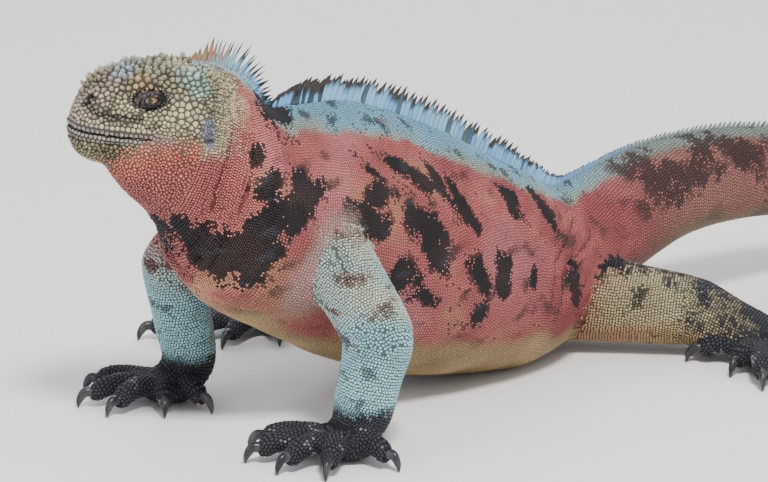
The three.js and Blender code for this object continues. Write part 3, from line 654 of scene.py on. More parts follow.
ROSE, DEEP_ROSE, TAN = paint(184, 98, 98), paint(158, 74, 80), paint(190, 132, 104)
BELLY, BAND, BAND_EDGE = paint(164, 138, 96), paint(118, 172, 196), paint(158, 172, 160)
BLACK, SLATE, NAPE = paint(24, 23, 27), paint(44, 45, 54), paint(160, 112, 104)
OLIVE, CREAM, MINT = paint(132, 128, 104), paint(190, 180, 148), paint(152, 180, 168)
CHEEK_RED, THROAT, PINK = paint(190, 98, 86), paint(158, 84, 82), paint(198, 118, 124)
SNOUT_PINK, PLATE_BLUE, LIP_GREY = paint(186, 164, 150), paint(168, 184, 200), paint(140, 134, 130)
# The third colour on the next line is a dark for painted shade in the lip creases, the mouth's slit and the
# nostrils, and for the ear's low edge
EAR_GREY, CHIN_OLIVE, SHADE_AND_EAR_EDGE_DARK = paint(100, 104, 114), paint(112, 104, 76), paint(46, 40, 42)
ARM_GREEN, RUST, SAGE = paint(152, 198, 208), paint(150, 98, 72), paint(170, 158, 122)
ARM_GREY, TAIL_UNDER = paint(182, 188, 172), paint(122, 100, 76)
DUSK, DUSK_DARK, TAIL_BAND = paint(160, 104, 96), paint(62, 44, 42), paint(136, 152, 146)

# Blotches on the left flank: along, height, half length, half height, and slope down towards the tail
BLOTCHES = np.array([
    [-0.0421, 0.1522, 0.0045, 0.0050, 0.0], [-0.0387, 0.1385, 0.0050, 0.0050, 0.2],
    [-0.0434, 0.1318, 0.0060, 0.0055, 0.0], [0.0135, 0.1100, 0.0155, 0.0120, 0.1],
    [0.0270, 0.1207, 0.0060, 0.0080, 0.0], [0.0555, 0.0985, 0.0100, 0.0200, -0.40],
    [0.0345, 0.0777, 0.0110, 0.0100, 0.0], [0.0520, 0.0640, 0.0110, 0.0050, 0.3],
    [0.0560, 0.1294, 0.0180, 0.0042, 0.62], [0.0312, 0.1322, 0.0080, 0.0030, 0.6],
    [0.0881, 0.1055, 0.0050, 0.0125, -0.30], [0.0760, 0.1180, 0.0040, 0.0090, -0.35],
    [0.0855, 0.0700, 0.0060, 0.0120, -0.05], [0.0867, 0.0490, 0.0075, 0.0080, 0.0],
    [0.1030, 0.0692, 0.0060, 0.0110, -0.05], [0.1337, 0.0979, 0.0060, 0.0080, -0.25],
    [0.1629, 0.0859, 0.0048, 0.0100, -0.25], [0.1718, 0.0495, 0.0055, 0.0100, 0.0],
    [0.1300, 0.0600, 0.0050, 0.0050, 0.0], [0.0620, 0.0850, 0.0060, 0.0060, 0.0],
])
TAIL_BLOTCHES = np.array([
    [0.2688, 0.0826, 0.0200, 0.0130, 0.3], [0.3042, 0.0875, 0.0170, 0.0110, -0.2],
    [0.3383, 0.0874, 0.0180, 0.0110, 0.1], [0.2450, 0.0700, 0.0080, 0.0060, 0.0],
    [0.3750, 0.0700, 0.0240, 0.0140, 0.0], [0.4200, 0.0600, 0.0200, 0.0160, 0.0],
])
chance = np.random.default_rng(12)
FAR_BLOTCHES = BLOTCHES + chance.uniform(-1, 1, BLOTCHES.shape) * [0.016, 0.012, 0.002, 0.002, 0.3]
COLLAR = np.array([
    [-0.0785, -0.0070, 0.1138], [-0.0657, -0.0189, 0.1061], [-0.0523, -0.0261, 0.0998],
    [-0.0366, -0.0349, 0.1138], [-0.0211, -0.0367, 0.1241], [-0.0124, -0.0349, 0.1299],
])

# Patches on the head: middle as forward, outward and up, then reach, colour and strength
BROW_TAN, CROWN_SAGE = paint(190, 160, 120), paint(150, 160, 140)
LID_SHADE, BROWN = paint(60, 54, 56), paint(108, 88, 72)
HEAD_PATCHES = [
    ((0.049, 0.012, 0.019), 0.0090, SNOUT_PINK, 0.85), ((0.057, 0.008, 0.006), 0.0080, SNOUT_PINK, 0.6),
    ((0.038, 0.008, 0.027), 0.0060, PLATE_BLUE, 0.85), ((0.030, 0.002, 0.029), 0.0050, PLATE_BLUE, 0.5),
    ((0.031, 0.018, 0.021), 0.0060, BROW_TAN, 0.8),
    ((0.005, 0.015, 0.024), 0.0095, MINT, 0.85), ((0.001, 0.021, 0.018), 0.0075, MINT, 0.8),
    ((0.018, 0.012, 0.028), 0.0080, CROWN_SAGE, 0.6),
    ((0.012, 0.027, 0.006), 0.0110, CREAM, 0.85), ((0.022, 0.024, 0.001), 0.0080, CREAM, 0.6),
    ((0.040, 0.020, 0.011), 0.0060, CREAM, 0.55),
    ((0.058, 0.006, -0.008), 0.0100, CHIN_OLIVE, 0.8), ((0.046, 0.016, -0.012), 0.0110, CHIN_OLIVE, 0.75),
]
SHOULDER = np.array([[-0.019, -0.036, 0.074], [-0.014, -0.042, 0.094], [0.001, -0.045, 0.107]])
SHOULDER_REACH = 0.017
NECK_STOP, TAIL_START = 6.6, 15.6  # the stations where the trunk begins and ends
EAR_LIFT = 3.0


def blotch_depth(points, blotches):
    """Above 0 inside a blotch, 1 at its middle, and below 0 outside."""
    depth = np.full(len(points), -9.0)
    for along, height, half_length, half_height, slope in blotches:
        x, z = points[:, 0] - along, points[:, 2] - height
        turned = x * math.cos(slope) - z * math.sin(slope), x * math.sin(slope) + z * math.cos(slope)
        depth = np.maximum(depth, 1 - np.hypot(turned[0] / half_length, turned[1] / half_height))
    return depth


def hide_colours(points, forms, shares, angles, scale_chance):
    """The colour at places in body coordinates; scale_chance is -1 to 1 for scales and 0 for the hide."""
    x, y, z = points.T
    station = shares * TAIL_TIP
    ridge = spline(BODY, station)[:, 0:3]
    drop = np.linalg.norm(points - ridge, axis=1)
    broad, medium, fine = ripple(points, 0.050, 21), ripple(points, 0.016, 22), ripple(points, 0.006, 23)
    ragged = 0.26 * fine + 0.14 * medium + 0.40 * scale_chance
    warped = points + 0.0018 * np.stack([ripple(points, 0.014, seed) for seed in (61, 62, 63)], axis=1)
    streaks = ripple(points * [0.35, 0.35, 1.0], 0.0045, 24)

    # Trunk and neck
    tan_share = 0.45 + 0.45 * broad + 0.55 * medium + 0.3 * streaks - np.abs(x - 0.02) * 5 - (z - 0.09) * 5
    colour = blend(ROSE, TAN, tan_share)
    deep_share = 0.20 + 0.50 * ripple(points, 0.022, 25) + 0.35 * streaks + (x - 0.10) * 5
    colour = blend(colour, DEEP_ROSE, deep_share)
    colour = blend(colour, PINK, np.clip(0.9 * ripple(points, 0.028, 26) - 0.2, 0, 0.75))
    colour = blend(colour, DUSK_DARK, np.clip((streaks + fine + 0.9 * scale_chance - 1.0) * 0.7, 0, 0.75))
    neck_share = np.clip((5.6 - station) / 1.6, 0, 1)
    colour = blend(colour, blend(THROAT, DEEP_ROSE, 0.4 + 0.4 * medium), neck_share)
    nape_share = neck_share * np.clip(1.5 - drop / 0.024 + 0.3 * fine, 0, 1)
    colour = blend(colour, blend(NAPE, OLIVE, 0.4 + 0.6 * scale_chance), nape_share)
    ahead, leftward, upward = head_coordinates(points)
    behind = bump(np.abs(ahead + 0.004 + 0.004 * medium), 0.016) * np.clip((upward + 0.016) / 0.008, 0, 1)
    behind_share = np.clip(behind * 1.5 + 0.5 * scale_chance, 0, 1) * (behind > 0)
    colour = blend(colour, blend(OLIVE, CREAM, 0.5 + 0.7 * scale_chance), behind_share)
    belly_edge = np.interp(x, [-0.051, -0.012, 0.059, 0.107, 0.170], [0.074, 0.055, 0.038, 0.029, 0.022])
    belly = np.clip((belly_edge - z + 0.003 * medium) / 0.008 + 0.3, 0, 1) * (station > 4.5)
    colour = blend(colour, BELLY * (1 + 0.10 * medium)[:, None], belly)
    band_width = np.interp(station, [3, 6.2, 7.2, 9, 10.3, 11.6, 12.5, 13.7, 15.5, 17, 24],
                           [0.009, 0.015, 0.022, 0.022, 0.025, 0.032, 0.030, 0.025, 0.014, 0.012, 0.006])
    inside = (band_width - drop) / 0.004 + 1.2 * ragged
    colour = blend(colour, blend(BAND_EDGE, BAND, (band_width - drop) / 0.014 + 0.35 * medium), inside + 0.5)
    near_dark = blotch_depth(warped, BLOTCHES) - 9 * (y > 0)
    dark = np.maximum(near_dark, blotch_depth(warped, FAR_BLOTCHES) - 9 * (y < 0))
    mirrored = warped * [1, -1, 1]
    collar = np.minimum(line_distance(warped, COLLAR)[0], line_distance(mirrored, COLLAR)[0])
    collar_reach = np.interp(x, [-0.080, -0.055, -0.035, -0.010], [0.009, 0.012, 0.014, 0.009])
    dark = np.maximum(dark, 1 - collar / collar_reach)
    before_crest = 1.1 - np.hypot((station - 6.45) / 0.95, drop / 0.023)
    dark = np.maximum(dark, before_crest)
    speckle = (scale_chance > 0.965) & (belly < 0.3) & (station > 6) & (medium > 0.2)
    blackened = (dark + ragged > -0.05) | speckle
    black = blend(np.broadcast_to(BLACK, colour.shape), DUSK_DARK, 0.1 + 0.4 * medium)
    black = blend(black, SLATE * 2.2, np.clip((streaks - 1.0) * 1.2, 0, 0.5))
    colour = blend(colour, black, np.where(blackened, 0.985, 0.0))
    flecked = (inside > 0.2) & (streaks + fine + scale_chance > 1.15) & (station < TAIL_START)
    colour = blend(colour, np.where((fine > 0)[:, None], SLATE, DUSK * 0.7), np.where(flecked, 0.8, 0.0))

    shoulder = line_distance(points, SHOULDER)[0]
    shoulder = np.minimum(shoulder, line_distance(points * [1, -1, 1], SHOULDER)[0])
    pale = blend(np.broadcast_to(ARM_GREY, colour.shape), PINK, 0.5 + 0.5 * ragged)
    pale_share = np.clip(bump(shoulder, SHOULDER_REACH) * 1.3 + 0.6 * ragged, 0, 0.85)
    colour = blend(colour, pale, pale_share * (shoulder < SHOULDER_REACH))

    # Tail: dusky rose above with dark blotches, and brown below
    tail = np.clip((station - TAIL_START) / 1.2 + 0.3 * medium, 0, 1)
    tail_colour = blend(DUSK, DEEP_ROSE, 0.35 - (x - 0.25) * 4 + 0.3 * broad)
    under = np.clip((np.sin(angles) * -1.0 - 0.25) * 2 + 0.3 * medium, 0, 1)
    tail_colour = blend(tail_colour, TAIL_UNDER, under)
    tail_colour = blend(tail_colour, TAIL_BAND, (band_width - drop) / 0.005 + ragged + 0.5)
    spotted = blotch_depth(points, TAIL_BLOTCHES) + 1.5 * ragged + 0.25 * medium
    spotted = np.clip(spotted * 2.0 + 0.4, 0, 0.92) * (np.sin(angles) > -0.6)
    tail_colour = blend(tail_colour, DUSK_DARK, spotted)
    tail_colour = blend(tail_colour, DUSK_DARK, np.clip((x - 0.36) * 4 + 0.5 * medium, 0, 0.7))
    colour = blend(colour, tail_colour, np.where(forms == BODY_FORM, tail, 0))

    # Head: grey-green crown with pale and pink patches, cream cheeks, red below and behind the jaw
    in_patch = np.stack([ahead, np.abs(leftward), upward], axis=1)
    head_colour = blend(OLIVE, CREAM, 0.30 + 0.35 * medium + 0.45 * scale_chance)
    head_colour = blend(head_colour, OLIVE * 0.75, 0.30 * fine - 0.35 * scale_chance)
    for middle, reach, tone, strength in HEAD_PATCHES:
        away = np.linalg.norm(in_patch - np.array(middle), axis=1) / reach
        head_colour = blend(head_colour, tone, np.clip((1.15 - away) * 1.6 + 0.35 * fine, 0, 1) * strength)
    browned = np.clip(ripple(in_patch, 0.008, 27) * 0.5 - 0.15 - 0.2 * scale_chance, 0, 0.55)
    head_colour = blend(head_colour, BROWN, browned)
    head_colour *= (0.90 + 0.18 * scale_chance)[:, None]
    lip_far = line_distance(points, MOUTH)[0]
    head_colour = blend(head_colour, LIP_GREY, np.clip((0.0046 - lip_far) / 0.002 + 0.3 * fine, 0, 0.8))
    # Painted shade in the creases along the lips
    crease = np.minimum(*(line_distance(points, line)[0] for line in LABIAL_CREASES))
    head_colour = blend(head_colour, SHADE_AND_EAR_EDGE_DARK * 1.5, np.clip((0.0022 - crease) / 0.001, 0, 0.75))
    red_line = np.interp(ahead, [-0.01, 0.003, 0.016, 0.0275, 0.039, 0.060],
                         [-0.002, -0.0041, -0.0037, -0.0063, -0.0106, -0.0260])
    reddened = np.clip((red_line - upward + 0.001) / 0.008 + 0.7 * scale_chance + 0.3 * fine, 0, 1)
    red = blend(CHEEK_RED, TAN, 0.20 + 0.45 * scale_chance + 0.3 * fine)
    head_colour = blend(head_colour, blend(red, THROAT, (red_line - upward) / 0.014 - 0.5), reddened)
    # Painted shade in the slit where the lips meet
    head_colour = blend(head_colour, SHADE_AND_EAR_EDGE_DARK, bump(lip_far, 0.0013) * 0.95)
    for eye in EYES:
        oval = np.hypot((points - eye) @ FORWARD / 0.0086, ((points - eye)[:, 2] + 0.0005) / 0.0046)
        head_colour = blend(head_colour, LID_SHADE, np.clip((1.15 - oval) * 4 + 0.3 * fine, 0, 0.95))
    # Painted shade inside the nostrils
    for nostril in NOSTRILS:
        hole = np.linalg.norm(points - nostril, axis=1)
        head_colour = blend(head_colour, SHADE_AND_EAR_EDGE_DARK * 0.4, np.clip((0.0032 - hole) / 0.0008, 0, 1))
    for ear in EARS:
        away = points - ear
        oval = np.hypot(away @ FORWARD / 0.0034, away[:, 2] / 0.0070)
        oval = oval + 9 * (np.abs(away @ LEFTWARD) > EAR_SIDE_REACH)
        low_edge = bump(np.abs(away[:, 2] + 0.0043), 0.002)
        disc = blend(np.broadcast_to(EAR_GREY, colour.shape), SHADE_AND_EAR_EDGE_DARK, low_edge)
        # The ear has no scales, so its hide is brightened here to undo most of the painted shade between
        # scales
        disc = disc * (1 + EAR_LIFT * (scale_chance == 0))[:, None]
        head_colour = blend(head_colour, disc, (1.2 - oval) * 5)
        colour = blend(colour, disc, (1.2 - oval) * 5)
    # The throat has the head's colours, save where the black collar crosses it
    throat = (forms == BODY_FORM) & (ahead > 0.004) & ~blackened
    colour = blend(colour, head_colour, np.where((forms == HEAD_FORM) | throat, 1.0, 0.0))
    # Painted shade along the folds of the skin, off the head
    colour *= (1 - 0.40 * bump(fold_distance(points), 0.0020) * (forms != HEAD_FORM))[:, None]

    # Arms pale blue-green, greyer and with rust above; thighs sage with dark flecks; feet near black
    kinds = np.array([kind for _, kind, _, _, _ in FORMS])[forms]
    is_arm = np.array([name.endswith("arm") for name, _, _, _, _ in FORMS])[forms]
    is_left = np.array([name.startswith("left") for name, _, _, _, _ in FORMS])[forms]
    arm = blend(ARM_GREEN, ARM_GREY, (z - 0.052) / 0.046 + 0.3 * medium)
    rust = np.clip((streaks + 0.5 * scale_chance - 1.0) * 1.2, 0, 0.7)
    arm = blend(arm, RUST, rust * np.clip((z - 0.045) / 0.02, 0.15, 1))
    arm = blend(arm, ROSE, np.where(is_left, (z - 0.106) / 0.012, (z - 0.072) / 0.02) + 1.3 * ragged)
    arm = blend(arm, SLATE, np.clip((streaks + fine + 0.9 * scale_chance - 1.2) * 0.8, 0, 0.7))
    arm = blend(arm, DUSK * 0.8, np.clip((x + 0.010) * 60 * ~is_left, 0, 0.8))
    arm = blend(arm, SLATE, (0.026 - z) / 0.007 + 0.6 * ragged + 0.3)
    leg_rise = (z - 0.029) / 0.024
    leg = blend(SAGE, CREAM, 0.25 + 0.4 * medium + 0.3 * scale_chance)
    leg = blend(leg, BELLY, (-0.25 - leg_rise) * 2.5 + 0.5 * medium)
    leg = blend(leg, BLACK, np.clip((fine + 0.9 * scale_chance - 0.9) * 1.4, 0, 0.85))
    hip_side = np.where(is_left, (0.210 - x) * 45, (x - 0.190) * 45)
    leg = blend(leg, TAN * 0.7, hip_side + 0.3 * medium + 0.6 * ragged)
    leg = blend(leg, BLACK, (leg_rise - 0.62) * 4 + 1.6 * ragged)
    hinge_side = np.where(is_left, (x - 0.218) * 40, (0.174 - x) * 40)
    is_foot = (kinds == "pad") | (kinds == "toe")
    leg = blend(leg, SLATE, np.where((kinds == "upper") | (kinds == "lower"), hinge_side, 1.0) + ragged)
    limb = np.where(is_arm[:, None], arm, leg)
    limb = blend(limb, SLATE, np.where(is_foot, 1.0, 0.0))
    limb = blend(limb, ARM_GREY, np.clip((fine + scale_chance - 1.2) * 0.5, 0, 0.35) * is_foot)
    colour = np.where((forms > HEAD_FORM)[:, None], limb, colour)
    return np.clip(colour * (1 + 0.07 * medium + 0.05 * fine)[:, None], 0.004, 1.0)


def colour_layer(mesh, colours):
    """Stores one colour for each corner of a mesh, for its material to read."""
    layer = mesh.color_attributes.new("hide_colour", "FLOAT_COLOR", "POINT")
    full = np.ones((len(colours), 4), np.float32)
    full[:, :3] = colours
    layer.data.foreach_set("color", full.ravel())


def hide_material(name, roughness, grain, lift):
    """Dry skin: the painted markings with fine mottling, and a shallow grain of its own."""
    finish = bpy.data.materials.new(name)
    finish.use_nodes = True
    nodes, links = finish.node_tree.nodes, finish.node_tree.links
    surface = nodes["Principled BSDF"]
    surface.inputs["Specular IOR Level"].default_value = 0.32
    markings = nodes.new("ShaderNodeAttribute")
    markings.attribute_name = "hide_colour"
    place = nodes.new("ShaderNodeTexCoord")
    mottle = nodes.new("ShaderNodeTexNoise")
    mottle.inputs["Scale"].default_value = grain
    mottle.inputs["Detail"].default_value = 4.0
    links.new(place.outputs["Object"], mottle.inputs["Vector"])
    shade = nodes.new("ShaderNodeMapRange")
    shade.inputs["To Min"].default_value = 0.72
    shade.inputs["To Max"].default_value = 1.22
    links.new(mottle.outputs["Fac"], shade.inputs["Value"])
    tint = nodes.new("ShaderNodeMix")
    tint.data_type = "RGBA"
    tint.blend_type = "MULTIPLY"
    tint.inputs["Factor"].default_value = 1.0
    links.new(markings.outputs["Color"], tint.inputs["A"])
    links.new(shade.outputs["Result"], tint.inputs["B"])
    links.new(tint.outputs["Result"], surface.inputs["Base Color"])
    rough = nodes.new("ShaderNodeMapRange")
    rough.inputs["To Min"].default_value = roughness - 0.12
    rough.inputs["To Max"].default_value = roughness + 0.10
    links.new(mottle.outputs["Fac"], rough.inputs["Value"])
    links.new(rough.outputs["Result"], surface.inputs["Roughness"])
    bumps = nodes.new("ShaderNodeBump")
    bumps.inputs["Strength"].default_value = 0.5
    bumps.inputs["Distance"].default_value = lift
    links.new(mottle.outputs["Fac"], bumps.inputs["Height"])
    links.new(bumps.outputs["Normal"], surface.inputs["Normal"])
    return finish


nearest = nearest_mark(places)
GAP_SHADE, OTHER_GAP_SHADE = 0.36, 0.16  # painted shade between scales, where the hide shows: on the body, and elsewhere
gap_shade = np.where(marks_form[nearest] == BODY_FORM, GAP_SHADE, OTHER_GAP_SHADE)[:, None]
colour_layer(hide_mesh, gap_shade * hide_colours(
    places, marks_form[nearest], marks_share[nearest], marks_angle[nearest], np.zeros(len(places))
))
hide_mesh.materials.append(hide_material("hide_between_scales", 0.75, 900.0, 0.0003))

# Scales: small keratin plates that cover the whole hide, in rings round the body and legs. Each one is a low
# cone or dome with its top drawn back, cut to fit between its neighbours, and roots a little way in the hide.
seeds = []


def seed_rings(number, surface, length_points, ring_gap, pitch, first, last, jitter):
    """Places for scales on rings along a form, every second ring shifted by half a scale, all a bit off."""
    chance = np.random.default_rng(number + 70)
    sixteenths = np.linspace(0, 2 * math.pi, 16, endpoint=False)
    middle = np.array([surface(np.full(16, share), sixteenths).mean(axis=0) for share in length_points])
    reached = np.concatenate([[0], np.cumsum(np.linalg.norm(np.diff(middle, axis=0), axis=1))])
    low, high = np.interp([first, last], length_points, reached)
    around = np.linspace(0, 2 * math.pi, 160)
    for count, at in enumerate(np.arange(low + ring_gap / 2, high, ring_gap)):
        outline = surface(np.full(160, np.interp(at, reached, length_points)), around)
        walked = np.concatenate([[0], np.cumsum(np.linalg.norm(np.diff(outline, axis=0), axis=1))])
        fit = max(int(walked[-1] / pitch), 5)
        steps = (np.arange(fit) + 0.5 * (count % 2) + 0.25) / fit * walked[-1]
        steps += chance.uniform(-jitter, jitter, fit) * pitch
        angle = np.interp(steps % walked[-1], walked, around)
        shares = np.interp(at + chance.uniform(-jitter, jitter, fit) * ring_gap, reached, length_points)
        columns = [np.full(fit, number), np.clip(shares, 0, 1), angle, np.full(fit, pitch)]
        seeds.append(np.stack(columns, axis=1))


BODY_STEPS = np.linspace(0, 1, 300)
THROAT_END = 3.3  # the station where rows of scales start
# From one station to the next: distance from ring to ring, distance along a ring, and how far off a scale is
BODY_RINGS = (
    (THROAT_END, NECK_STOP, 0.00125, 0.0014, 0.12), (NECK_STOP, TAIL_START, 0.00145, 0.0016, 0.12),
    (TAIL_START, 24.0, 0.0019, 0.0019, 0.10), (24.0, 29.9, 0.0022, 0.0018, 0.10),
)
for first, last, ring_gap, pitch, jitter in BODY_RINGS:
    seed_rings(
        BODY_FORM, FORMS[BODY_FORM][2], BODY_STEPS, ring_gap, pitch, first / TAIL_TIP, last / TAIL_TIP, jitter
    )
LIMB_STEPS = np.linspace(0, 1, 40)
for number, (_, kind, surface, _, _) in enumerate(FORMS[2:], start=2):
    if kind in ("upper", "lower"):
        seed_rings(number, surface, LIMB_STEPS, 0.00156, 0.00165, 0.0, 1.0, 0.18)
    elif kind == "pad":
        seed_rings(number, surface, LIMB_STEPS, 0.0019, 0.0020, 0.04, 0.96, 0.25)
    else:
        seed_rings(number, surface, LIMB_STEPS, 0.0019, 0.0022, 0.0, 0.97, 0.10)
seeds = np.vstack(seeds)
seed_form = seeds[:, 0].astype(int)
seed_share, seed_angle, seed_size = seeds[:, 1], seeds[:, 2], seeds[:, 3]
seed_place = np.zeros((len(seeds), 3))
for number, (_, _, surface, _, _) in enumerate(FORMS):
    mine = seed_form == number
    if mine.any():
        seed_place[mine] = surface(seed_share[mine], seed_angle[mine])


def settle(points):
    """The nearest places on the hide, with the hide's direction outwards and how far away it was."""
    found = [hide_tree.find_nearest(co) for co in points]
    return tuple(np.array([hit[column] for hit in found]) for column in (0, 1, 3))


on_hide, out, off = settle(seed_place)
keep = (off < 0.0030) & (marks_form[nearest_mark(on_hide)] == seed_form) & (on_hide[:, 2] > 0.0009)
seed_form, seed_share = seed_form[keep], seed_share[keep]
seed_angle, seed_size = seed_angle[keep], seed_size[keep]
seed_place, seed_out = on_hide[keep], out[keep]

# The plates of head and throat have no rows: they are set at random, as close as their sizes let them lie,
# round the even rows of plates that edge the lips
hide_mesh.calc_loop_triangles()
triangles = np.array([triangle.vertices for triangle in hide_mesh.loop_triangles])
corner = places[triangles]
middle = corner.mean(axis=1)
near_head = np.nonzero(head_coordinates(middle)[0] > -0.050)[0]
area = np.linalg.norm(np.cross(corner[:, 1] - corner[:, 0], corner[:, 2] - corner[:, 0]), axis=1)[near_head]
chance = np.random.default_rng(4)
HEAD_TRIES = 110000
picked = near_head[chance.choice(len(near_head), HEAD_TRIES, p=area / area.sum())]
weights = chance.dirichlet([1, 1, 1], len(picked))
tries = (corner[picked] * weights[:, :, None]).sum(axis=1)
nearest = nearest_mark(tries)
on_throat = (marks_form[nearest] == BODY_FORM) & (marks_share[nearest] < THROAT_END / TAIL_TIP)
wanted = (marks_form[nearest] == HEAD_FORM) | on_throat
tries = tries[wanted]
on_throat = on_throat[wanted]
ahead, leftward, upward = head_coordinates(tries)
crown = np.clip((upward - 0.012) / 0.008, 0, 1)
size = 0.0020 + 0.0010 * crown + 0.0012 * bump(np.hypot(ahead - 0.012, upward - 0.004), 0.016)
size = np.where(upward < -0.005, 0.0019, size)
size = np.where(upward < -0.012, 0.0016, size)
size = np.where(ahead < 0.0, 0.0018, size)
size = np.where(on_throat, 0.00145, size) * chance.choice([0.80, 1.0, 1.0, 1.35], len(tries))
lip_far = line_distance(tries, MOUTH)[0]
bare = lip_far < 0.0008
for eye in EYES:
    oval = np.hypot((tries - eye) @ FORWARD / 0.0092, (tries - eye)[:, 2] / 0.0052)
    size = np.where(oval < 1.1, 0.0012, size)
    bare |= np.hypot((tries - eye) @ FORWARD / 0.0070, (tries - eye)[:, 2] / 0.0037) < 1
for nostril in NOSTRILS:
    bare |= np.linalg.norm(tries - nostril, axis=1) < 0.0028
for ear in EARS:
    away = tries - ear
    bare |= (np.hypot(away @ FORWARD / 0.0031, away[:, 2] / 0.0066) < 1.0) & (np.abs(away @ LEFTWARD) < 0.010)
LIP_ROWS = ((0.0019, 0.0024), (0.0042, 0.0026), (-0.0018, 0.0022), (-0.0038, 0.0024))  # height, spacing
lip_plates = []
for rise, spacing in LIP_ROWS:
    edge = mouth_line(240) + UPWARD * rise
    walked = np.concatenate([[0], np.cumsum(np.linalg.norm(np.diff(edge, axis=0), axis=1))])
    steps = np.arange(spacing / 2, walked[-1], spacing)
    lip_plates.append(np.stack([np.interp(steps, walked, column) for column in edge.T], axis=1))
lip_plates = np.vstack(lip_plates)
LIP_PLATE_SIZE, CLOSEST = 0.0024, 0.42
kept = np.zeros((len(lip_plates) + len(tries), 3))
kept_size = np.full(len(kept), LIP_PLATE_SIZE)
kept[:len(lip_plates)] = lip_plates
filled = len(lip_plates)
for co, width in zip(tries[~bare], size[~bare]):
    apart = kept[:filled] - co
    if (np.einsum("ij,ij->i", apart, apart) > (CLOSEST * (kept_size[:filled] + width)) ** 2).all():
        kept[filled], kept_size[filled] = co, width
        filled += 1
kept, kept_size = kept[:filled], kept_size[:filled]
on_hide, out, off = settle(kept)
nearest = nearest_mark(on_hide)
seed_place, seed_out = np.vstack([seed_place, on_hide]), np.vstack([seed_out, out])
seed_form = np.append(seed_form, marks_form[nearest])
seed_share = np.append(seed_share, marks_share[nearest])
seed_angle = np.append(seed_angle, marks_angle[nearest])
seed_size = np.append(seed_size, kept_size)


def lie_of_scales():
    """The direction in which each scale points: along its form, towards the tail or the toes."""
    lie = np.zeros_like(seed_place)
    for number, (_, _, surface, _, _) in enumerate(FORMS):
        mine = seed_form == number
        if mine.any():
            share, angle = seed_share[mine], seed_angle[mine]
            beyond, before = np.minimum(share + 0.004, 1), np.maximum(share - 0.004, 0)
            lie[mine] = surface(beyond, angle) - surface(before, angle)
    lie[seed_form == HEAD_FORM] *= -1
    lie -= seed_out * (lie * seed_out).sum(axis=1)[:, None]
    return unit(lie)


seed_lie = lie_of_scales()
seed_side = np.cross(seed_out, seed_lie)
seed_tree = kdtree.KDTree(len(seed_place))
for number, co in enumerate(seed_place):
    seed_tree.insert(co, number)
seed_tree.balance()
NEIGHBOURS = 8
near_seeds = np.array([[hit[1] for hit in seed_tree.find_n(co, NEIGHBOURS + 1)] for co in seed_place])
chance = np.random.default_rng(9)
seed_chance = chance.uniform(-1, 1, len(seed_place))
seed_colour = hide_colours(seed_place, seed_form, seed_share, seed_angle, seed_chance)
seed_colour *= (1 + 0.17 * chance.uniform(-1, 1, len(seed_place)))[:, None]
# Scale tops are paled, partly the scales' own pale points and partly a painted highlight: most on the neck,
# none on dark scales
PALE_TIP_AND_HIGHLIGHT = paint(216, 196, 172)
neck_like = (seed_form == BODY_FORM) & (seed_share < NECK_STOP / TAIL_TIP)
seed_tip_and_highlight = np.where(neck_like, 0.30, np.where(seed_form == HEAD_FORM, 0.12, 0.06))
seed_tip_and_highlight = seed_tip_and_highlight * chance.uniform(0.2, 1.4, len(seed_place))
seed_tip_and_highlight *= seed_colour.mean(axis=1) > 0.06


def scale_cells(which, sides, gap):
    """The reach of each scale towards each side, to the middle of the gap between it and its neighbours."""
    turn = np.arange(sides) * 2 * math.pi / sides
    away = seed_place[near_seeds[which]] - seed_place[which][:, None, :]
    x, y = (away * seed_lie[which][:, None, :]).sum(axis=2), (away * seed_side[which][:, None, :]).sum(axis=2)
    half = (x * x + y * y) / 2
    toward = x[:, None, :] * np.cos(turn)[None, :, None] + y[:, None, :] * np.sin(turn)[None, :, None]
    blocked = (toward > 1e-7) & (half[:, None, :] > 1e-10)
    reach = np.where(blocked, half[:, None, :] / np.maximum(toward, 1e-7), 1.0).min(axis=2)
    return np.minimum(reach, seed_size[which][:, None] * 0.75) * (1 - gap)


def joined_mesh(name, corner, faces, uv, shade, material):
    """A piece from arrays of corners and triangles, with its own bake map and corner colours."""
    mesh = bpy.data.meshes.new(name)
    mesh.vertices.add(len(corner))
    mesh.vertices.foreach_set("co", (corner + BODY_PLACE).astype(np.float32).ravel())
    mesh.loops.add(faces.size)
    mesh.loops.foreach_set("vertex_index", faces.astype(np.int32).ravel())
    mesh.polygons.add(len(faces))
    mesh.polygons.foreach_set("loop_start", np.arange(0, faces.size, 3, dtype=np.int32))
    mesh.polygons.foreach_set("use_smooth", np.ones(len(faces), bool))
    mesh.update(calc_edges=True)
    mesh.validate()
    mesh.uv_layers.new(name="OFBake").data.foreach_set("uv", uv[faces.ravel()].astype(np.float32).ravel())
    colour_layer(mesh, np.clip(shade, 0, 1))
    mesh.materials.append(material)
    piece = bpy.data.objects.new(name, mesh)
    bpy.context.scene.collection.objects.link(piece)
    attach(piece, "root")


SCALE_ROOT = 0.00022
PATCH_RADIUS = 0.0013  # of a scale's patch on its bake map


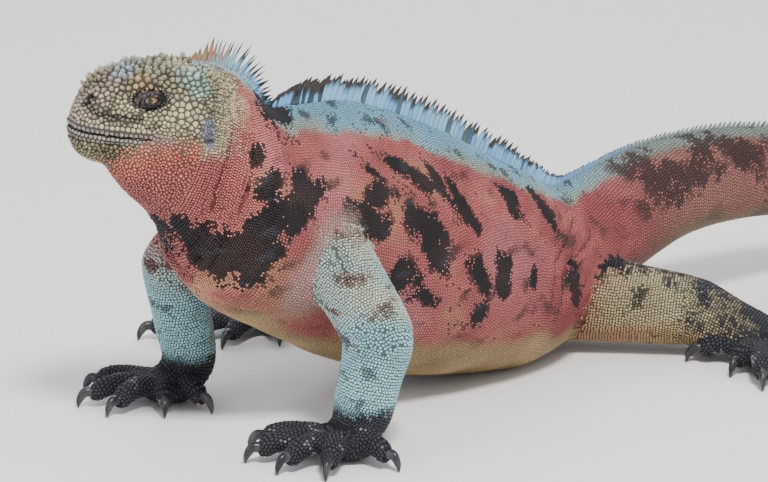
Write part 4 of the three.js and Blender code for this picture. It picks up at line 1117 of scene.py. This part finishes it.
def scale_piece(name, which, sides, rings, height, lean, gap, island):
    """The scales of some seeds as one mesh: their sides, profile, height, lean back and gap."""
    which = np.nonzero(which)[0]
    reach = scale_cells(which, sides, gap)
    turn = np.arange(sides) * 2 * math.pi / sides
    tall = np.broadcast_to(height, len(seed_place))[which] * (1 + 0.18 * seed_chance[which])
    tall = tall * np.clip(reach.mean(axis=1) / (seed_size[which] * 0.45), 0.3, 1.15)
    lie, side, out = seed_lie[which], seed_side[which], seed_out[which]
    base, colour = seed_place[which], seed_colour[which]
    corners, shades, spots = [], [], []
    for ring_share, ring_rise, ring_shade in rings:
        if ring_share == 0:
            flat = np.zeros((len(which), 1, 3))
        else:
            along = lie[:, None, :] * np.cos(turn)[None, :, None]
            flat = reach[:, :, None] * ring_share * (along + side[:, None, :] * np.sin(turn)[None, :, None])
        lifted = tall * ring_rise - SCALE_ROOT * (ring_rise == 0)
        shift = lie * (reach.mean(axis=1) * lean * ring_rise)[:, None]
        corners.append(base[:, None, :] + flat + (out * lifted[:, None] + shift)[:, None, :])
        # Each ring's colour takes its painted shade, and the top takes the pale tip with its painted
        # highlight
        shade = blend(colour * ring_shade, PALE_TIP_AND_HIGHLIGHT, seed_tip_and_highlight[which] * (ring_share == 0))
        shades.append(np.repeat(shade[:, None, :], flat.shape[1], axis=1))
        wheel = np.stack([np.cos(turn), np.sin(turn)], axis=1)[: flat.shape[1]] * ring_share * PATCH_RADIUS
        spots.append(np.broadcast_to(wheel, (len(which), flat.shape[1], 2)))
    per_scale = sum(block.shape[1] for block in corners)
    corner = np.concatenate(corners, axis=1).reshape(-1, 3)
    corner[:, 2] = np.maximum(corner[:, 2], 0.00005)
    shade = np.concatenate(shades, axis=1).reshape(-1, 3)
    root_uv = island(seed_form[which], seed_share[which], seed_angle[which])
    uv = (np.concatenate(spots, axis=1) + root_uv[:, None, :]).reshape(-1, 2)
    pattern = []
    for level in range(len(rings) - 1):
        for i in range(sides):
            a, b = level * sides + i, level * sides + (i + 1) % sides
            if rings[level + 1][0] == 0:
                pattern.append((a, b, (level + 1) * sides))
            else:
                pattern += [(a, b, b + sides), (a, b + sides, a + sides)]
    pattern = np.array(pattern)
    faces = (pattern[None, :, :] + (np.arange(len(which)) * per_scale)[:, None, None]).reshape(-1, 3)
    joined_mesh(name, corner, faces, uv, shade, scale_finish)


def strip_island(first, last, start_angle, end_angle):
    """A patch for each scale on an unwrap of one stretch of a form."""
    whole_turn = 2 * math.pi

    def island(form, share, angle):
        u = (share - first) / (last - first)
        turned = (end_angle - start_angle) % (whole_turn + 1e-9) or whole_turn
        v = (angle - start_angle) % whole_turn / turned
        return np.stack([0.004 + 0.992 * np.clip(u, 0, 1), 0.004 + 0.992 * np.clip(v, 0, 1)], axis=1)

    return island


def limb_island(form, share, angle):
    """Each part of each leg has its own rectangle on the unwrap."""
    order = form - 2
    column, row = order % 8, order // 8 % 4
    u = (column + 0.03 + 0.94 * share) / 8
    v = (row + 0.03 + 0.94 * (angle % (2 * math.pi)) / (2 * math.pi)) / 4
    return np.stack([u, v], axis=1)


scale_finish = hide_material("scale_horn", 0.52, 1400.0, 0.00012)
# Profiles of a scale from its foot to its top: share of its reach, share of its height, and painted shade
# The painted shade darkens the foot, as in the gaps between scales, and lights the top as a painted highlight
CONE = [(1.0, 0, 0.46), (0, 1.0, 1.16)]
DOME = [(1.0, 0, 0.26), (0.80, 0.70, 0.94), (0, 1.0, 1.08)]
PLATE = [(1.0, 0, 0.20), (0.92, 0.60, 0.70), (0.62, 0.95, 0.95), (0, 1.0, 1.04)]
seed_station = seed_share * TAIL_TIP
left_half = np.cos(seed_angle) < 0
body_seed = seed_form == BODY_FORM
trunk = body_seed & (seed_station >= NECK_STOP) & (seed_station < TAIL_START)
TRUNK_SPAN = (NECK_STOP / TAIL_TIP, TAIL_START / TAIL_TIP)
scale_piece("flank_scales_left", trunk & left_half, 6, CONE, 0.00042, 0.25, 0.06,
            strip_island(*TRUNK_SPAN, math.pi / 2, 3 * math.pi / 2))
scale_piece("flank_scales_right", trunk & ~left_half, 6, CONE, 0.00042, 0.25, 0.06,
            strip_island(*TRUNK_SPAN, 3 * math.pi / 2, math.pi / 2))
scale_piece("neck_scales", body_seed & (seed_station < NECK_STOP), 6, DOME, 0.00062, 0.40, 0.10,
            strip_island(0, NECK_STOP / TAIL_TIP, 0, 2 * math.pi))
scale_piece("tail_scales", body_seed & (seed_station >= TAIL_START), 6, CONE, 0.00050, 0.35, 0.06,
            strip_island(TAIL_START / TAIL_TIP, 1.0, 0, 2 * math.pi))
limb_seed = seed_form > HEAD_FORM
front = limb_seed & (seed_place[:, 0] < 0.08)
scale_piece("arm_scales", front, 6, DOME, 0.00042, 0.20, 0.13, limb_island)
scale_piece("leg_scales", limb_seed & ~front, 6, DOME, 0.00042, 0.20, 0.11, limb_island)
head_seed = seed_form == HEAD_FORM
crown = np.clip((head_coordinates(seed_place)[2] - 0.014) / 0.008, 0, 1)
knobbed = head_seed & (crown > 0.3) & (seed_chance > 0.15)
# A knob's profile, with painted shade at its foot and a painted highlight at its top
KNOB = [(1.0, 0, 0.20), (0.82, 0.35, 0.68), (0.42, 0.80, 0.92), (0, 1.0, 1.12)]
plate_height, knob_height = 0.00060 + 0.0005 * crown, 0.00120 + 0.0016 * np.clip(seed_chance, 0, 1)
scale_piece("head_plates", head_seed & ~knobbed, 9, PLATE, plate_height, 0.10, 0.10,
            strip_island(0, 1, 0, 2 * math.pi))
scale_piece("crown_knobs", knobbed, 9, KNOB, knob_height, 0.15, 0.08,
            strip_island(0, 1, 0, 2 * math.pi))


# Crest: a row of tall flat horn spines on the ridge of neck, back and tail. On the nape they fan out and lean
# back, along the back they stand side by side like a fin, and on the tail they are short and hooked.
SPINE_ROOT = 0.002


def spine_template(sides, cuts):
    """One upright spine of unit height: round the foot, flat above, with its corners' shares of height."""
    blank = bmesh.new()
    bmesh.ops.create_cone(blank, cap_ends=True, segments=sides, radius1=1.0, radius2=0.03, depth=1.0)
    standing = [edge for edge in blank.edges if abs(edge.verts[0].co.z - edge.verts[1].co.z) > 0.5]
    bmesh.ops.subdivide_edges(blank, edges=standing, cuts=cuts)
    bmesh.ops.triangulate(blank, faces=blank.faces)
    blank.verts.index_update()
    corner = np.array([vert.co for vert in blank.verts])
    face = np.array([[vert.index for vert in piece.verts] for piece in blank.faces])
    blank.free()
    rise = corner[:, 2] + 0.5
    around = corner[:, :2] / np.maximum(np.linalg.norm(corner[:, :2], axis=1), 1e-6)[:, None]
    return rise, around, face


CREST = np.array([
    [2.3, 0.0040, -6], [3.0, 0.0065, 2], [3.5, 0.0095, 8], [4.0, 0.0125, 11], [4.5, 0.0150, 20],
    [5.0, 0.0155, 35], [5.5, 0.0140, 46], [6.0, 0.0115, 62], [6.5, 0.0090, 70], [7.0, 0.0060, 60],
    [7.5, 0.0090, 22], [8.3, 0.0125, 14], [9.2, 0.0135, 14], [11.0, 0.0135, 16], [12.5, 0.0125, 20],
    [13.5, 0.0100, 24], [14.6, 0.0060, 22], [15.1, 0.0045, 18], [20.0, 0.0038, 24], [30.0, 0.0016, 30],
])  # station, height, lean back from upright in degrees


def crest_piece(
    name, root, along, height, lean, length, width, hook, slim, spread, tones, seed, island
):
    """Spines as one mesh, each with its root, way of the ridge, height, lean, half length and half width."""
    chance = np.random.default_rng(seed)
    count = len(root)
    rise, around, face = spine_template(9, 5)
    height = height * chance.uniform(0.84, 1.10, count)
    lean = lean + np.radians(chance.uniform(-5, 5, count))
    level_way = unit(along * [1, 1, 0])
    side = np.cross(UPWARD, level_way)
    tilt = chance.uniform(-1, 1, count) * spread
    stem = unit(level_way * np.sin(lean)[:, None] + UPWARD * np.cos(lean)[:, None] + side * tilt[:, None])
    back = unit(np.cross(side, stem))
    level = rise[None, :] * (height[:, None] + SPINE_ROOT) - SPINE_ROOT
    share = np.clip(level / height[:, None], 0, 1)
    taper = np.clip(1.02 - share ** slim, 0.02, 1)
    bend = share ** 2 * height[:, None] * hook
    corner = root[:, None, :] + side[:, None, :] * (tilt * 0.004)[:, None, None]
    corner = corner + stem[:, None, :] * level[:, :, None]
    corner = corner + back[:, None, :] * (bend + around[None, :, 0] * length[:, None] * taper)[:, :, None]
    corner = corner + side[:, None, :] * (around[None, :, 1] * width[:, None] * taper)[:, :, None]
    low, high, tip, tip_start = tones(chance.uniform(-1, 1, count))
    streak = chance.uniform(-1, 1, (count, 1))
    edge = np.clip((share - tip_start[:, None] + 0.10 * streak) / 0.16, 0, 1)[:, :, None]
    shade = low[:, None, :] + (high - low)[:, None, :] * np.clip(share * 2.2, 0, 1)[:, :, None]
    shade = shade + (tip[:, None, :] - shade) * edge
    # Painted shade: each spine darker towards its front and back edges, as in the shade between neighbouring
    # spines
    shade = shade * (1 - 0.70 * (np.abs(around[None, :, 0:1]) ** 4))
    patch = np.stack([around[:, 0] * 0.0012, (rise - 0.5) * 0.0024], axis=1)
    uv = island[:, None, :] + patch[None, :, :]
    faces = (face[None, :, :] + (np.arange(count) * len(rise))[:, None, None]).reshape(-1, 3)
    corner, uv, shade = corner.reshape(-1, 3), uv.reshape(-1, 2), shade.reshape(-1, 3)
    joined_mesh(name, corner, faces, uv, shade, spine_finish)


def ridge_crest(name, first, last, count, length, width, hook, slim, spread, tones, seed):
    """Spines on the body's ridge, evenly from one station to another."""
    station = np.linspace(first, last, count)
    root = spline(BODY, station)[:, 0:3]
    along = spline(BODY, np.minimum(station + 0.03, TAIL_TIP)) - spline(BODY, np.maximum(station - 0.03, 0))
    height, lean = (np.interp(station, CREST[:, 0], CREST[:, column]) for column in (1, 2))
    length, width = (np.interp(station, [first, last], span) for span in (length, width))
    island = np.stack([0.01 + 0.98 * (station - first) / (last - first), np.full(count, 0.5)], axis=1)
    crest_piece(name, root, along[:, 0:3], height, np.radians(lean), length, width, hook, slim, spread,
                lambda chance: tones(station, chance), seed, island)


spine_finish = hide_material("spine_horn", 0.40, 1100.0, 0.00010)
SPINE_BLUE, SPINE_PALE, SPINE_DARK = paint(92, 158, 216), paint(148, 192, 212), paint(34, 36, 38)
SPINE_SAND, SPINE_RUST, SPINE_BLACK = paint(158, 138, 108), paint(176, 108, 84), paint(26, 27, 30)
SPINE_GREY, SPINE_BROWN = paint(132, 148, 148), paint(92, 84, 72)


def nape_tones(station, chance):
    """Colours at the foot, the middle and the tip, and where the tip's colour starts."""
    low = blend(np.broadcast_to(SPINE_SAND, (len(station), 3)), SPINE_PALE * 0.85, (station - 3.7) / 0.9)
    rusty = blend(low, SPINE_RUST, 0.8 * (chance > 0.0) * (station < 4.5))
    high = blend(rusty, SPINE_BLUE, (station - 5.0) / 0.8)
    dark = np.broadcast_to(SPINE_DARK, low.shape)
    tip = blend(high * 0.6, dark, (station - 3.6) / 0.8)
    tip_start = np.interp(station, [3, 4, 5, 6, 7], [0.60, 0.60, 0.45, 0.30, 0.15]) + 0.2 * chance
    return blend(low, dark, (station - 6.2) * 1.2), blend(high, dark, (station - 6.5) * 1.3), tip, tip_start


def back_tones(station, chance):
    blue = blend(np.broadcast_to(SPINE_BLUE, (len(station), 3)), SPINE_PALE, 0.4 + 0.5 * chance)
    black = np.broadcast_to(SPINE_BLACK, blue.shape)
    front = np.where((chance > -0.45) & (station < 9.0), 1.0, 0.0)
    darkened = np.maximum(front, np.where(chance > 0.90, 0.85, 0.0))
    low = blend(blend(blue, SPINE_PALE, 0.2), black, darkened * 0.85)
    tip_start = np.interp(station, [9, 12, 15], [0.44, 0.48, 0.60]) + 0.18 * chance
    return low, blend(blue, black, darkened), blend(black, SPINE_BROWN, 0.25), tip_start


def tail_tones(station, chance):
    blue_share = 0.5 + 0.3 * chance - (station - 16) * 0.3
    blue = blend(np.broadcast_to(SPINE_GREY, (len(station), 3)), SPINE_BLUE, blue_share)
    grey = blend(blue, DUSK_DARK, np.clip(0.5 * chance + (station - 19) * 0.12, 0, 0.8))
    return grey * 0.85, grey, blend(grey, SPINE_DARK, 0.75), np.full(len(station), 0.55)


ridge_crest("nape_crest", 2.35, 7.25, 38, (0.0017, 0.0016), (0.00085, 0.0007), 0.10, 0.8, 0.10,
            nape_tones, 31)
ridge_crest("back_crest", 7.35, 15.1, 96, (0.0029, 0.0021), (0.0009, 0.0008), 0.34, 2.4, 0.03,
            back_tones, 32)
ridge_crest("tail_crest", 15.2, 29.3, 170, (0.0018, 0.0012), (0.0008, 0.0004), 0.30, 1.25, 0.02,
            tail_tones, 33)

# Claws: curved horn cones, thick at the root and sharp at the tip, one to each digit, set in the toe's end.
CLAW_GIRTH = np.array([[0.0026, 0.0027], [0.0022, 0.0026], [0.0015, 0.0018], [0.0003, 0.00035]])
CLAW_HORN, CLAW_EDGE = paint(36, 37, 42), paint(72, 72, 72)
claw_finish = hide_material("claw_horn", 0.30, 500.0, 0.00006)
for limb in LIMBS.values():
    claw_shape = bmesh.new()
    for tip in limb["digits"]:
        claw_path = digit_paths(limb, tip)[1]
        rooted = [part_way(claw_path[0], claw_path[1], -0.6)] + claw_path
        add_form(claw_shape, sweep(rooted, np.vstack([[0.0020, 0.0020], CLAW_GIRTH])), 14, 18)
    bmesh.ops.recalc_face_normals(claw_shape, faces=claw_shape.faces)
    claw_place = np.array([vert.co for vert in claw_shape.verts])
    node_stem = limb["nodes"][2] + "_claw"
    claw_mesh = bpy.data.meshes.new(node_stem + "s")
    claw_shape.to_mesh(claw_mesh)
    claw_shape.free()
    claw_mesh.vertices.foreach_set("co", (claw_place + BODY_PLACE).astype(np.float32).ravel())
    claw_mesh.polygons.foreach_set("use_smooth", np.ones(len(claw_mesh.polygons), bool))
    claw_mesh.update()
    paler = 0.35 + 0.6 * ripple(claw_place * [1, 1, 0.4], 0.0025, 41)
    colour_layer(claw_mesh, blend(np.broadcast_to(CLAW_HORN, claw_place.shape), CLAW_EDGE, paler))
    claw_mesh.materials.append(claw_finish)
    claws = bpy.data.objects.new(node_stem + "s", claw_mesh)
    bpy.context.scene.collection.objects.link(claws)
    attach(claws, "root")
    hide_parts(*[f"{node_stem}_{number}" for number in range(1, 6)])

# Eyes: a wet ball with a round black pupil in an amber iris, held by two thick, finely wrinkled dark lids
# that leave an almond opening.
PUPIL_EDGE, IRIS_EDGE = math.radians(17), math.radians(38)
LOOK_FORWARD = math.radians(14)
PUPIL, EYE_WHITE = paint(8, 8, 9), paint(50, 38, 34)
IRIS_INNER, IRIS_OUTER = paint(150, 122, 84), paint(92, 66, 42)
LID_DARK, LID_PALE = paint(34, 31, 35), paint(112, 102, 100)
OPENING = (0.0042, 0.0023, 0.0018)  # half length, then height above and below
LID_REACH = (0.0080, 0.0045)  # half length and half height
LID_THICKNESS = 0.0004
eye_finish = bpy.data.materials.new("wet_eye")
eye_finish.use_nodes = True
eye_surface = eye_finish.node_tree.nodes["Principled BSDF"]
iris_paint = eye_finish.node_tree.nodes.new("ShaderNodeAttribute")
iris_paint.attribute_name = "hide_colour"
eye_finish.node_tree.links.new(iris_paint.outputs["Color"], eye_surface.inputs["Base Color"])
eye_surface.inputs["Roughness"].default_value = 0.35
eye_surface.inputs["Coat Weight"].default_value = 0.5
eye_surface.inputs["Coat Roughness"].default_value = 0.03
lid_finish = hide_material("lid_skin", 0.68, 1600.0, 0.00030)
for side, node in ((1, "left_eye"), (-1, "right_eye")):
    centre = in_head(EYE_FORWARD, side * EYE_SIDE, EYE_HEIGHT)
    outwards = LEFTWARD * side
    look = outwards * math.cos(LOOK_FORWARD) + FORWARD * math.sin(LOOK_FORWARD)
    across = unit(np.cross(UPWARD, look))
    eye_shape = bmesh.new()
    bmesh.ops.create_uvsphere(eye_shape, u_segments=48, v_segments=60, radius=EYE_RADIUS)
    ball = np.array([vert.co for vert in eye_shape.verts])
    polar = np.arccos(np.clip(ball[:, 2] / EYE_RADIUS, -1, 1))
    around = np.arctan2(ball[:, 1], ball[:, 0])
    swell = 1 + 0.05 * bump(polar, math.radians(48))
    ball = (ball[:, 0:1] * across + ball[:, 1:2] * UPWARD + ball[:, 2:3] * look) * swell[:, None]
    eye_mesh = bpy.data.meshes.new(node + "_ball")
    for vert, co in zip(eye_shape.verts, ball + centre + BODY_PLACE):
        vert.co = co
    bmesh.ops.recalc_face_normals(eye_shape, faces=eye_shape.faces)
    eye_shape.to_mesh(eye_mesh)
    eye_shape.free()
    eye_mesh.polygons.foreach_set("use_smooth", np.ones(len(eye_mesh.polygons), bool))
    streak = 0.5 + 0.25 * np.sin(around * 17 + 1) + 0.25 * np.sin(around * 31)
    iris_share = (polar - PUPIL_EDGE) / (IRIS_EDGE - PUPIL_EDGE)
    iris = blend(np.broadcast_to(IRIS_INNER, ball.shape), IRIS_OUTER, iris_share)
    iris = iris * (0.75 + 0.4 * streak)[:, None]
    iris = blend(iris, EYE_WHITE, (polar - IRIS_EDGE) / math.radians(4))
    colour_layer(eye_mesh, np.clip(np.where((polar < PUPIL_EDGE)[:, None], PUPIL, iris), 0, 1))
    eye_mesh.materials.append(eye_finish)
    eye = bpy.data.objects.new(node + "_ball", eye_mesh)
    bpy.context.scene.collection.objects.link(eye)
    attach(eye, "root")
    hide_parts(node)

    # Lids: a ring from the edge of the opening to under the scales round the eye
    lid_shape = bmesh.new()
    bmesh.ops.create_grid(lid_shape, x_segments=96, y_segments=22, size=0.5)
    flat = np.array([vert.co for vert in lid_shape.verts])
    turn, far = (flat[:, 0] + 0.5) * 2 * math.pi, flat[:, 1] + 0.5
    rise = np.sin(turn)
    opening = np.where(rise > 0, OPENING[1], OPENING[2])
    inner = np.stack([OPENING[0] * np.cos(turn), opening * np.sign(rise) * np.abs(rise) ** 1.15], axis=1)
    outer_rise = LID_REACH[1] * np.sign(rise) * np.abs(rise) ** 1.25
    outer = np.stack([LID_REACH[0] * np.cos(turn), outer_rise], axis=1)
    spot = inner + (outer - inner) * far[:, None]
    lid_ball = EYE_RADIUS * 1.06 + 0.0003
    depth = np.sqrt(np.maximum(lid_ball ** 2 - np.minimum((spot ** 2).sum(axis=1), lid_ball ** 2 * 0.90), 0))
    depth = depth + (0.0004 - depth) * np.clip((far - 0.45) / 0.55, 0, 1) ** 1.5
    rim = bump(far, 0.16) * 0.00045
    wrinkle = 0.00034 * np.sin(far * 2 * math.pi * 4.5 + 0.8 * np.sin(turn * 2 + side))
    wrinkle = wrinkle * bump(np.abs(far - 0.5), 0.5)
    wrinkle += 0.00008 * np.sin(turn * 34 + far * 9) * bump(np.abs(far - 0.55), 0.5)
    depth = depth + rim + wrinkle
    lid_place = centre + spot[:, 0:1] * FORWARD + spot[:, 1:2] * UPWARD + depth[:, None] * outwards
    for vert, co in zip(lid_shape.verts, lid_place):
        vert.co = co
    bmesh.ops.remove_doubles(lid_shape, verts=lid_shape.verts, dist=1e-6)
    bmesh.ops.recalc_face_normals(lid_shape, faces=lid_shape.faces)
    facing = sum((face.normal.dot(Vector(outwards)) for face in lid_shape.faces), 0.0)
    if facing < 0:
        bmesh.ops.reverse_faces(lid_shape, faces=lid_shape.faces)
    bmesh.ops.solidify(lid_shape, geom=lid_shape.faces, thickness=LID_THICKNESS)
    lid_mesh = bpy.data.meshes.new(node + "lids")
    lid_place = np.array([vert.co for vert in lid_shape.verts])
    lid_shape.to_mesh(lid_mesh)
    lid_shape.free()
    lid_mesh.vertices.foreach_set("co", (lid_place + BODY_PLACE).astype(np.float32).ravel())
    lid_mesh.polygons.foreach_set("use_smooth", np.ones(len(lid_mesh.polygons), bool))
    lid_mesh.update()
    away = lid_place - centre
    ring_share = np.hypot(away @ FORWARD / LID_REACH[0], away[:, 2] / LID_REACH[1])
    paler = (ring_share - 0.55) * 1.2 + 0.4 * ripple(lid_place, 0.0009, 51)
    colour_layer(lid_mesh, blend(np.broadcast_to(LID_DARK, lid_place.shape), LID_PALE, paler))
    lid_mesh.materials.append(lid_finish)
    lids = bpy.data.objects.new(node + "lids", lid_mesh)
    bpy.context.scene.collection.objects.link(lids)
    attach(lids, "root")
